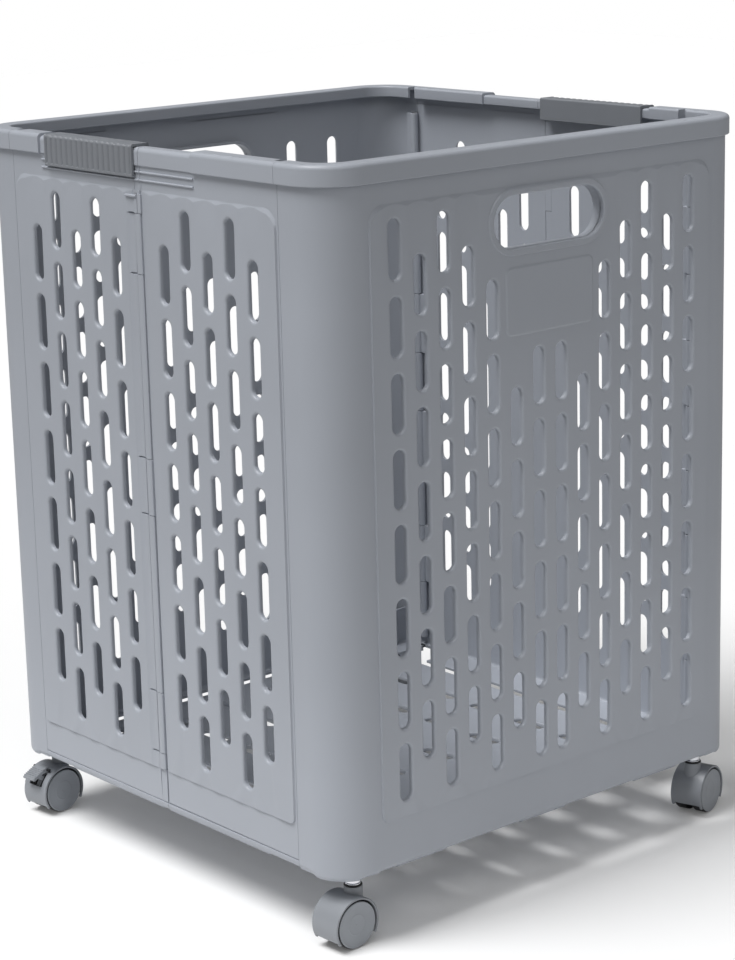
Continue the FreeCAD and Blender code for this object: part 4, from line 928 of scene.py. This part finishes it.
def centre_strip(direction):
    """Barrels of the centre hinge on one half panel, and the plain strips above and below them."""
    shells = []
    for number in range(0 if direction > 0 else 1, len(CENTRE_ENDS) - 2, 2):
        shells.append(upright_sweep(barrel_section(direction), CENTRE_ENDS[number] + KNUCKLE_GAP,
                                    CENTRE_ENDS[number + 1] - KNUCKLE_GAP))
    low, high = CENTRE_ENDS[-2] + KNUCKLE_GAP, CENTRE_ENDS[-1]
    if direction < 0:
        shells.append(plain_strip(FIELD_RAISE + 0.05, -BARREL_EDGE - BARREL_SEAM - 1.0, KINK_EDGE - 0.6,
                                  low, high - KNUCKLE_GAP))
        return shells
    edge = BARREL_EDGE + BARREL_JOINT
    slope_low = SIDE_FIELD_HIGH - FIELD_TOP_EDGE
    for proud, near, low, high in ((FIELD_RAISE, KINK_EDGE, low, high),
                                   (FIELD_RAISE, -BARREL_EDGE, high, slope_low),
                                   (FIELD_RAISE / 2, -BARREL_EDGE, slope_low, SIDE_FIELD_HIGH),
                                   (0.0, -BARREL_EDGE, SIDE_FIELD_HIGH, WALL_TOP),
                                   (0.0, -BARREL_EDGE, PANEL_SKIRT_TOP, SIDE_FIELD_LOW),
                                   (FIELD_RAISE, -BARREL_EDGE, SIDE_FIELD_LOW, CENTRE_ENDS[0] - KNUCKLE_GAP)):
        shells.append(plain_strip(proud, near, edge, low, high))
    start, end, half = HINGE_BAR
    bar = [(Vector((-HALF_WIDTH - FIELD_RAISE, y, CENTRE_ENDS[-1] - HINGE_BAR_DROP)), OUT, UP)
           for y in (start, end)]
    shells.append(sweep(bar, [(-half, -half)] + arc((0.0, 0.0), half, -90, 90, 8) + [(-half, half)]))
    return shells


def hidden_pin(side, body, steel):
    """Wire inside the barrels of a centre hinge."""
    node = body.split("_")[0] + "_centre_hinge_pin"
    low, high = CENTRE_PIN_LOW[2], CENTRE_PIN_HIGH[2]
    wire = lathe(Vector((side * (HALF_WIDTH + 0.1), 0, 0)), UP,
                 rectangle((0.05, low), (HIDDEN_WIRE_RADIUS, high)), 16)
    piece(node + "_wire", [wire], steel, body, [node])


def panel_rim(direction, track):
    """Rim of a half panel, stepped at the corner hinge to clear the other rim when the wall folds."""
    step = direction * (FOLD_LINE - RIM_STEP)
    profile = rim_profile()
    vertices, faces = along_side((track, step - direction * RIM_STEP_SLOPE, step, direction * PANEL_EDGE),
                                 profile)
    inner = RIM_PROUD - RIM_WIDTH
    for vertex in vertices[2 * len(profile):]:
        if vertex.x > -HALF_WIDTH - inner - RIM_WIDTH / 3:
            vertex.x += PANEL_FLANGE + inner
    return vertices, faces


def build_half_panel(name, direction, degrees, plastic):
    near = -BARREL_EDGE if direction > 0 else -BARREL_EDGE - BARREL_SEAM
    edge = direction * PANEL_EDGE
    track = direction * (TRACK_BACK if direction > 0 else TRACK_FRONT)
    groove = [(-LIP_GROOVE, PANEL_SKIRT_TOP - LIP_GROOVE * share) for share in (0.4, 0.9)]
    groove += [(LIP_PROUD, PANEL_SKIRT_TOP - LIP_GROOVE - 0.3)]
    rails = []
    for below in RAILS_BELOW_TOP:
        level = BODY_TOP - below
        section = arc((RAIL_PROUD, level), RAIL_HALF_HEIGHT, -90, 90, 6)
        section = [(-WALL / 2, section[0][1])] + section[:1] + section + [(-WALL / 2, section[-1][1])]
        rails.append(along_side((near, track - direction * 0.4), section))
    ledge = sorted((direction * LEDGE_SEAM_GAP, direction * (FOLD_LINE - LEDGE_CORNER_GAP)))
    low = BODY_BOTTOM + LEDGE_LIFT
    fittings = [block((-HALF_WIDTH + WALL / 2, ledge[0], low),
                      (-HALF_WIDTH + WALL + LEDGE_WIDTH, ledge[1], low + FLANGE_WALL))]
    for vertices, faces in corner_knuckles(1, -1, 1):
        if direction > 0:
            vertices = [Vector((vertex.x, -vertex.y, vertex.z)) for vertex in vertices]
        fittings.append(outward_faces(vertices, faces))
    moulding(name, degrees, plastic, [
        ("wall", [side_wall(direction)], 0.0),
        ("hinge_strip", centre_strip(direction), 0.25),
        ("skirt", [along_side((near, edge), skirt_profile(PANEL_SKIRT_TOP, PANEL_FLANGE, groove))], 0.0),
        ("rim", [panel_rim(direction, track)], 0.25),
        ("track", [along_side((near, track), rim_profile(TRACK_STEP))], 0.0),
        ("rails", rails, 0.0),
        ("fittings", fittings, 0.3),
    ])


def slider_outline(outer, inner, bottom, top):
    """Section of the slider as (x, z, share of the ribs' depth)."""
    rib_low = bottom + SLIDER_FOOT
    rib_high = top - 2.6
    lip_bottom = top - SLIDER_INNER_DROP
    outline = [(outer + SLIDER_WALL, bottom, 0), (outer + 0.3, bottom, 0), (outer, bottom + 0.3, 0),
               (outer, rib_low - 0.4, 0)]
    outline += [(outer, rib_low + (rib_high - rib_low) * share, 1) for share in (0.0, 0.33, 0.66)]
    outline += [(x, z, 1) for x, z in arc((outer + SLIDER_OUTER_ROUND, top - SLIDER_OUTER_ROUND),
                                          SLIDER_OUTER_ROUND, 180, 100, 5)]
    outline += [(x, z, 0) for x, z in arc((inner - SLIDER_INNER_ROUND, top - SLIDER_INNER_ROUND),
                                          SLIDER_INNER_ROUND, 90, 0, 4)]
    return outline + [(inner, lip_bottom + 0.4, 0), (inner - 0.4, lip_bottom, 0),
                      (inner - SLIDER_WALL, lip_bottom, 0), (inner - SLIDER_WALL, top - SLIDER_WALL, 0),
                      (outer + SLIDER_WALL, top - SLIDER_WALL, 0)]


def rim_slider():
    """Ribbed clip over the rim, made at -X."""
    outer, _, bottom = SLIDER_LOW
    inner, _, top = SLIDER_HIGH
    outline = slider_outline(outer, inner, bottom, top)
    start = SLIDER_LOW[1] - SLIDER_FORWARD
    end = start + SLIDER_LENGTH
    pitch = (SLIDER_LENGTH - 2 * SLIDER_BORDER) / SLIDER_RIBS
    margins = (0.0, SLIDER_END_ROUND, SLIDER_BORDER * 0.6)
    stations = [start + margin for margin in margins]
    stations += [start + SLIDER_BORDER + (number + share) * pitch
                 for number in range(SLIDER_RIBS) for share in RIB_STATIONS]
    stations += [end - SLIDER_BORDER] + [end - margin for margin in reversed(margins)]
    middle = Vector(((outer + inner) / 2, 0, top - 8))
    vertices = []
    for y in stations:
        phase = (y - start - SLIDER_BORDER) / pitch
        groove = 0.0
        if 0 <= phase <= SLIDER_RIBS:
            groove = RIB_INSET + RIB_DEPTH * (0.5 + 0.5 * math.cos(2 * math.pi * phase)) ** 4
        shrink = SLIDER_END_ROUND if y in (start, end) else 0.0
        for x, z, ribbed in outline:
            inward = groove * ribbed + shrink * (x < outer + 0.1)
            slope = Vector((1, 0, 0))
            if z > top - SLIDER_OUTER_ROUND:
                slope = Vector((middle.x - x, 0, middle.z - z)).normalized()
            vertices.append(Vector((x, y, z)) + slope * inward)
    hook = block((outer + SLIDER_WALL / 2, start + 0.5, bottom), (-HALF_WIDTH - 0.4, end - 0.5, bottom + 2.2))
    return [skinned(vertices, len(outline)), hook]


def build_slider(name, degrees, plastic):
    shells = [turned(shell, degrees) for shell in rim_slider()]
    piece(name + "_clip", shells, plastic, name, [name], smooth=60.0)


# ---------------------------------------------------------------- floor
def build_floor(plastic):
    _, axis_y, middle_z = FLOOR_AXIS
    top = middle_z + FLOOR_WALL / 2
    front = axis_y + KNUCKLE_RADIUS + 0.8
    rear = FLOOR_HIGH[1]
    half = FLOOR_HIGH[0]
    spacing = 2 * SIDE_COLUMN_PITCH
    columns = int(2 * half // spacing)
    rows = int((rear - front) // SLOT_PITCH)
    slots = Slots([((column - (columns - 1) / 2) * spacing,
                    (front + rear) / 2 + (row - (rows - 1) / 2) * SLOT_PITCH)
                   for row in range(rows) for column in range(columns)], SLOT_HALF_LENGTH - SLOT_HALF_WIDTH)
    panel = plate(slots.lines(), (-half, half, front, rear), [slots.distance], slots.rounding, -FLOOR_WALL,
                  lambda u, v, proud: Vector((u, v, top + proud)))
    piece("floor_panel_plate", [panel], plastic, "floor_panel", ["floor_panel"])
    shells = []
    for centre in FLOOR_KNUCKLES:
        low, high = centre - FLOOR_KNUCKLE_HALF, centre + FLOOR_KNUCKLE_HALF
        shells.append(barrel(FLOOR_AXIS, Vector((1, 0, 0)), low, high))
        shells.append(block((low, axis_y, top - FLOOR_WALL), (high, front + 1, top)))
    piece("floor_panel_knuckles", shells, plastic, "floor_panel")


def build_rest_bar(plastic):
    low, high = box_mm("floor_rest_bar")
    bar_top = FLOOR_LOW[2] + KNUCKLE_RADIUS - FLOOR_WALL / 2 - 0.2
    half_z = (bar_top - low[2]) / 2
    half_y = (high[1] - low[1]) / 2
    end = HALF_WIDTH - REST_BAR_INSET
    path = [(Vector((x, (low[1] + high[1]) / 2, (bar_top + low[2]) / 2)), BACK, UP) for x in (-end, end)]
    shells = [sweep(path, rounded_section(half_y, half_z, REST_BAR_ROUND))]
    for side in (-1, 1):
        reach = sorted((side * (HALF_WIDTH - FOOT_WIDTH), side * end))
        shells.append(block((reach[0], FOLD_LINE + 0.2, bar_top - 1), (reach[1], high[1], high[2])))
    piece("floor_rest_bar_moulding", shells, plastic, "rear_shell", ["floor_rest_bar"],
          bevel=0.4)


# ---------------------------------------------------------------- casters
class Caster:
    """Places of one caster, read from its axle, stem and tyre."""

    def __init__(self, name):
        stem = centre_mm(f"{name}_caster_stem")
        axle = centre_mm(f"{name}_caster_axle")
        low, high = box_mm(f"{name}_caster_near_tyre")
        self.radius = (high[2] - low[2]) / 2
        self.stem = Vector((stem[0], stem[1], 0))
        self.axle = Vector(axle)
        self.forward = (Vector((axle[0], axle[1], 0)) - self.stem).normalized()
        self.across = Vector((-self.forward.y, self.forward.x, 0))

    def direction(self, degrees):
        """Direction in the wheels' plane.  Angle 0 points along the trail and 90 upwards."""
        angle = math.radians(degrees)
        return self.forward * math.cos(angle) + UP * math.sin(angle)

    def about_axle(self, profile, **options):
        return lathe(self.axle, -self.across, profile, zero=self.forward, **options)

    def wheel(self, outline, side):
        """Wheel turned from (radius, distance from the caster's middle), on one side."""
        return self.about_axle([(radius, -side * across) for radius, across in outline], steps=WHEEL_STEPS)

    def across_prism(self, outline, half, start, degrees):
        """Outline in the wheels' plane, from a point and a direction, given thickness along the axle."""
        along, up = self.direction(degrees), self.direction(degrees + 90)
        return prism(outline, -half, half, lambda a, b, c: start + along * a + up * b + self.across * c)


def caster_hood(caster, braked):
    """Round hood with its boss, its inner web and, where the caster has a brake, a window for the pedal."""
    outer = caster.radius + HOOD_OVER_WHEEL
    inner = outer - HOOD_WALL
    half = HOOD_HALF_WIDTH
    web_reach = inner + 0.2
    front = 180 + math.degrees(math.asin((caster.radius - HOOD_FRONT_EDGE) / outer))
    rear = -math.degrees(math.asin((caster.radius - HOOD_REAR_EDGE) / outer))
    low, high = HOOD_WINDOW
    edge = half - HOOD_CHAMFER
    skin = [(inner, -half), (outer - HOOD_CHAMFER, -half), (outer, -edge), (outer, edge),
            (outer - HOOD_CHAMFER, half), (inner, half)]
    arcs = [(skin, 44, rear, front)]
    webs = [(rear + 4, front - 3, web_reach)]
    if braked:
        arcs = [(skin, 30, high, front), (skin, 14, rear, low)]
        webs = [(rear + 4, low, web_reach), (low - 1, high + 1, caster.radius - 0.8),
                (high, front - 3, web_reach)]
    for sign in (-1, 1):
        if braked:
            strip = sorted((sign * HOOD_WINDOW_HALF_WIDTH, sign * half))
            arcs.append((rectangle((inner, strip[0]), (outer, strip[1])), 10, low, high))
        reach = sorted((sign * (half - 2.0), sign * half))
        ring = rectangle((inner, reach[0]), (outer - 0.1, reach[1]))
        arcs += [(ring, 4, front, front + 9.0), (ring, 4, rear - 6.0, rear)]
    for start, end, reach in webs:
        arcs.append((rectangle((3.0, -HOOD_WEB_HALF), (reach, HOOD_WEB_HALF)), 20, start, end))
    shells = [caster.about_axle(profile, steps=steps, start=start, end=end)
              for profile, steps, start, end in arcs]
    top = 2 * caster.radius + BOSS_OVER_WHEEL
    boss = [(BOSS_RADIUS, top - BOSS_SKIRT), (BOSS_RADIUS, top - BOSS_ROUND), (BOSS_RADIUS - BOSS_ROUND, top),
            (AXIS_HOLE, top), (AXIS_HOLE, caster.radius + 10.0), (BOSS_RADIUS, caster.radius + 10.0)]
    shells.append(lathe(caster.stem, UP, boss, 36))
    return shells


def brake_pedal(caster):
    """Ribbed lever that stands out of the window in the hood, and the shoe under it."""
    out = caster.radius + HOOD_OVER_WHEEL + PEDAL_PIVOT_OUT
    pivot = caster.axle + caster.direction(PEDAL_PIVOT_ANGLE) * out
    lever = arc((0.0, 0.0), 2.3, 90, 270, 8)
    lever += [(2.0, -1.6), (4.0, -0.3), (13.6, -0.1)]
    lever += arc((14.0, 1.1), 1.2, -80, 60, 4)
    for number in range(PEDAL_RIBS):
        x = 13.4 - number * PEDAL_RIB_PITCH
        lever += [(x, 2.3), (x - 0.3, 3.0), (x - 0.9, 3.0), (x - 1.2, 2.3)]
    start = caster.axle + caster.direction(SHOE_ANGLE) * (caster.radius + SHOE_GAP)
    shoe = rectangle((0.0, -1.6), (5.4, 1.6))
    return [caster.across_prism(lever, PEDAL_HALF_WIDTH, pivot, PEDAL_PITCH),
            caster.across_prism(shoe, PEDAL_HALF_WIDTH - 0.5, start, SHOE_ANGLE)]


def wheel_disc(caster, side):
    """Dished cover disc of a wheel with its hub."""
    face = DISC_FACE
    edge = caster.radius - DISC_INSET
    inside = caster.radius - 2.9
    outline = [(0.3, 3.0), (inside, 3.0), (inside, TREAD_OUTER), (edge - 0.4, TREAD_OUTER)]
    outline += arc((edge - 0.5, face - 0.45), 0.5, 0, 90, 4)
    outline += [(edge - 1.3, face), (edge - 1.7, face - 0.5), (edge - 5.0, face - 0.8), (8.0, face - 0.9),
                (7.6, face - 0.65), (7.1, face - 0.65), (6.7, face - 0.9), (0.3, face - 1.0)]
    return caster.wheel(outline, side)


def wheel_tread(caster, side):
    inside = caster.radius - 3.3
    middle = caster.radius - TREAD_ROUND
    outline = [(inside, TREAD_INNER), (middle, TREAD_INNER)]
    outline += arc((middle, TREAD_INNER + TREAD_ROUND), TREAD_ROUND, -90, 0, 3)
    outline += arc((middle, TREAD_OUTER - TREAD_ROUND), TREAD_ROUND, 0, 90, 3)
    outline += [(inside, TREAD_OUTER)]
    return caster.wheel(outline, side)


def stem_metal(caster):
    """Plated ring and shank of the stem."""
    low = 2 * caster.radius + BOSS_OVER_WHEEL + 1.0
    high = low + RING_HEIGHT - 0.7
    end = high + SHANK_HEIGHT
    ring = RING_RADIUS
    outline = [(0.3, low), (ring - 0.3, low), (ring, low + 0.3), (ring, low + 0.9), (ring - 1.2, low + 1.3),
               (ring - 1.2, low + 1.5), (ring - 0.1, low + 1.9), (ring - 0.1, high - 0.2), (ring - 0.4, high),
               (SHANK_RADIUS, high), (SHANK_RADIUS, end), (SHANK_RADIUS - 0.5, end + 0.5), (0.3, end + 0.5)]
    return lathe(caster.stem, UP, outline, 40)


def stem_washer(caster):
    low = 2 * caster.radius + BOSS_OVER_WHEEL
    outline = [(3.0, low - 0.05), (6.5, low - 0.05), (6.7, low + 0.3), (6.5, low + 0.85), (6.0, low + 1.0),
               (3.0, low + 1.0)]
    return lathe(caster.stem, UP, outline, 36)


def build_caster(name, shell_body, materials):
    caster = Caster(name)
    braked = f"{name}_brake" in frame["bodies"]

    def put(suffix, shells, material, body, node=None, bevel=0.0):
        nodes = [f"{name}_caster_{node}"] if node else []
        piece(f"{name}_{suffix}", shells, materials[material], body, nodes, bevel)

    put("hood", caster_hood(caster, braked), "caster", f"{name}_caster", "hood", 0.3)
    for which, side in (("near", -1), ("far", 1)):
        wheel = f"{name}_{which}_wheel"
        put(f"{which}_disc", [wheel_disc(caster, side)], "disc", wheel, f"{which}_hub")
        put(f"{which}_tread", [wheel_tread(caster, side)], "tread", wheel, f"{which}_tyre")
    put("stem", [stem_metal(caster)], "chrome", shell_body, "stem")
    put("washer", [stem_washer(caster)], "tread", shell_body)
    if braked:
        put("brake_lever", brake_pedal(caster), "caster", f"{name}_brake", "brake_pedal",
            0.25)


# ---------------------------------------------------------------- materials
def connect(tree, node, inputs):
    """Gives each named input a constant, or links it to another node's output."""
    for name, value in inputs.items():
        if isinstance(value, bpy.types.NodeSocket):
            tree.links.new(value, node.inputs[name])
        else:
            node.inputs[name].default_value = value


def add_node(tree, kind, inputs, operation=None):
    node = tree.nodes.new("ShaderNode" + kind)
    if operation:
        node.operation = operation
    connect(tree, node, inputs)
    return node


def ranged(tree, value, low, high):
    """Socket with a value between 0 and 1 spread from low to high."""
    return add_node(tree, "MapRange", {"Value": value, "To Min": low, "To Max": high}).outputs["Result"]


def new_material(name):
    material = bpy.data.materials.new(name)
    material.use_nodes = True
    tree = material.node_tree
    return material, tree, tree.nodes["Principled BSDF"], add_node(tree, "TexCoord", {}).outputs["Object"]


def moulded_plastic(name, colour, roughness):
    """Satin moulded plastic: fine spark-eroded grain that also varies the gloss, and broad soft changes of
    tone.
    """
    material, tree, shader, where = new_material(name)
    broad = add_node(tree, "TexNoise", {"Vector": where, "Scale": 6.0, "Detail": 3.0})
    fine = add_node(tree, "TexNoise", {"Vector": where, "Scale": 2600.0, "Detail": 2.0}).outputs["Fac"]
    tone = add_node(tree, "ValToRGB", {"Fac": broad.outputs["Fac"]})
    for stop, position, share in zip(tone.color_ramp.elements, (0.3, 0.7), (0.96, 1.04)):
        stop.position = position
        stop.color = [value * share for value in colour] + [1.0]
    bump = add_node(tree, "Bump", {"Height": fine, "Strength": 0.06, "Distance": 0.0001})
    connect(tree, shader, {"Base Color": tone.outputs["Color"], "Normal": bump.outputs["Normal"], "IOR": 1.49,
                           "Roughness": ranged(tree, fine, roughness - 0.05, roughness + 0.05)})
    return material


def metal(name, colour, roughness):
    material, tree, shader, where = new_material(name)
    streaks = add_node(tree, "TexNoise", {"Vector": where, "Scale": 900.0}).outputs["Fac"]
    connect(tree, shader, {"Base Color": colour + [1.0], "Metallic": 1.0,
                           "Roughness": ranged(tree, streaks, roughness * 0.7, roughness * 1.3)})
    return material


BODY_GREY = [0.392, 0.416, 0.462]
SLIDER_GREY = [0.215, 0.228, 0.25]
CASTER_GREY = [0.27, 0.285, 0.31]
DISC_GREY = [0.31, 0.33, 0.36]
BLACK = [0.012, 0.012, 0.014]
STEEL = [0.62, 0.63, 0.65]
CHROME = [0.78, 0.79, 0.82]
WHITE = (1.0, 1.0, 1.0, 1.0)


def assign(node, material):
    """New finish on a CAD node that is shown as it is."""
    obj = bpy.data.objects[node]
    obj.data.materials.clear()
    obj.data.materials.append(material)


# ---------------------------------------------------------------- stage
GROUND_HALF = 6.0
GROUND_ALBEDO = 0.87
GROUND_GLOW = 0.07          # seen by the camera only
SKY_DIM = 0.16              # share of the sky's strength that lights the trolley


def white_stage():
    """White ground that keeps the trolley's shadow, under a white sky for the camera and reflections."""
    mesh = bpy.data.meshes.new("ground")
    corners = rectangle((-GROUND_HALF, -GROUND_HALF), (GROUND_HALF, GROUND_HALF))
    mesh.from_pydata([(x, y, 0) for x, y in corners], [], [(0, 1, 2, 3)])
    ground = linked("ground", mesh)
    material, tree, shader, where = new_material("ground_white")
    # Painted pool of light: for every ray but the camera's, the ground's colour fades from white near the
    # trolley to grey beyond 1.2 m, which makes the light bounced onto its walls weaker towards their top.
    far = add_node(tree, "VectorMath", {0: where}, "LENGTH")
    painted_pool = add_node(tree, "MapRange", {"Value": far.outputs["Value"], "From Min": 0.35, "From Max": 1.2,
                                         "To Min": GROUND_ALBEDO, "To Max": 0.4})
    seen = add_node(tree, "LightPath", {}).outputs["Is Camera Ray"]
    albedo = add_node(tree, "Mix", {"Factor": seen, "A": painted_pool.outputs["Result"], "B": GROUND_ALBEDO})
    glow = add_node(tree, "Math", {0: seen, 1: GROUND_GLOW}, "MULTIPLY")
    connect(tree, shader, {"Base Color": albedo.outputs["Result"], "Roughness": 0.9,
                           "Specular IOR Level": 0.1, "Emission Color": WHITE,
                           "Emission Strength": glow.outputs[0]})
    mesh.materials.append(material)


def sky():
    world = bpy.data.worlds.new("sky")
    bpy.context.scene.world = world
    world.use_nodes = True
    tree = world.node_tree
    ray = add_node(tree, "LightPath", {})
    seen = add_node(tree, "Math", {0: ray.outputs["Is Camera Ray"], 1: ray.outputs["Is Transmission Ray"]},
                    "MAXIMUM")
    strength = ranged(tree, seen.outputs[0], SKY_DIM, 1.0)
    connect(tree, tree.nodes["Background"], {"Color": WHITE, "Strength": strength})


def sun(name, direction, width, strength):
    """Broad soft light that comes from the given direction."""
    light = bpy.data.lights.new(name, "SUN")
    light.angle = math.radians(width)
    light.energy = strength
    linked(name, light).rotation_euler = Vector(direction).to_track_quat("Z", "Y").to_euler()


CAMERA_PLACE = (-1.2383, -1.4577, 0.7473)
CAMERA_YAW = -0.705
CAMERA_TILT = 0.245
CAMERA_ROLL = -0.025
CAMERA_LENS = 95.98


def make_camera():
    data = bpy.data.cameras.new("camera")
    data.lens = CAMERA_LENS
    data.sensor_width = 36.0
    data.clip_start = 0.05
    data.clip_end = 50.0
    camera = linked("camera", data)
    turn = Matrix.Rotation(CAMERA_YAW, 4, "Z") @ Matrix.Rotation(math.pi / 2 - CAMERA_TILT, 4, "X")
    turn = turn @ Matrix.Rotation(CAMERA_ROLL, 4, "Z")
    camera.matrix_world = Matrix.Translation(CAMERA_PLACE) @ turn
    bpy.context.scene.camera = camera


# ---------------------------------------------------------------- whole scene
def build():
    body_plastic = moulded_plastic("body_plastic", BODY_GREY, 0.42)
    slider_plastic = moulded_plastic("slider_plastic", SLIDER_GREY, 0.46)
    steel = metal("drawn_steel", STEEL, 0.3)
    materials = {
        "caster": moulded_plastic("caster_plastic", CASTER_GREY, 0.38),
        "disc": moulded_plastic("disc_plastic", DISC_GREY, 0.36),
        "tread": moulded_plastic("black_tread", BLACK, 0.5),
        "chrome": metal("chrome", CHROME, 0.08),
    }
    build_end_shell("front_shell", 0, body_plastic, floor_lugs())
    build_end_shell("rear_shell", 180, body_plastic, [])
    for name, direction, degrees in (("left_front_panel", -1, 0), ("left_rear_panel", 1, 0),
                                     ("right_rear_panel", -1, 180), ("right_front_panel", 1, 180)):
        build_half_panel(name, direction, degrees, body_plastic)
    build_slider("left_rim_slider", 0, slider_plastic)
    build_slider("right_rim_slider", 180, slider_plastic)
    build_floor(body_plastic)
    build_rest_bar(body_plastic)
    for end in ("front", "rear"):
        for side in ("left", "right"):
            build_caster(f"{end}_{side}", f"{end}_shell", materials)
    hidden_pin(-1, "left_rear_panel", steel)
    hidden_pin(1, "right_front_panel", steel)
    for node in frame["nodes"]:
        if node.endswith(("hinge_pin", "hinge_pins", "axle")):
            assign(node, steel)
        if node.endswith(("socket", "brake_pin")):
            assign(node, materials["tread"])


build()
white_stage()
sky()
sun("key", (-0.42, 0.11, 0.9), 30.0, 2.85)
sun("fill", (-0.4, -0.6, 0.7), 50.0, 0.55)
make_camera()

scene = bpy.context.scene
scene.view_settings.view_transform = "Standard"
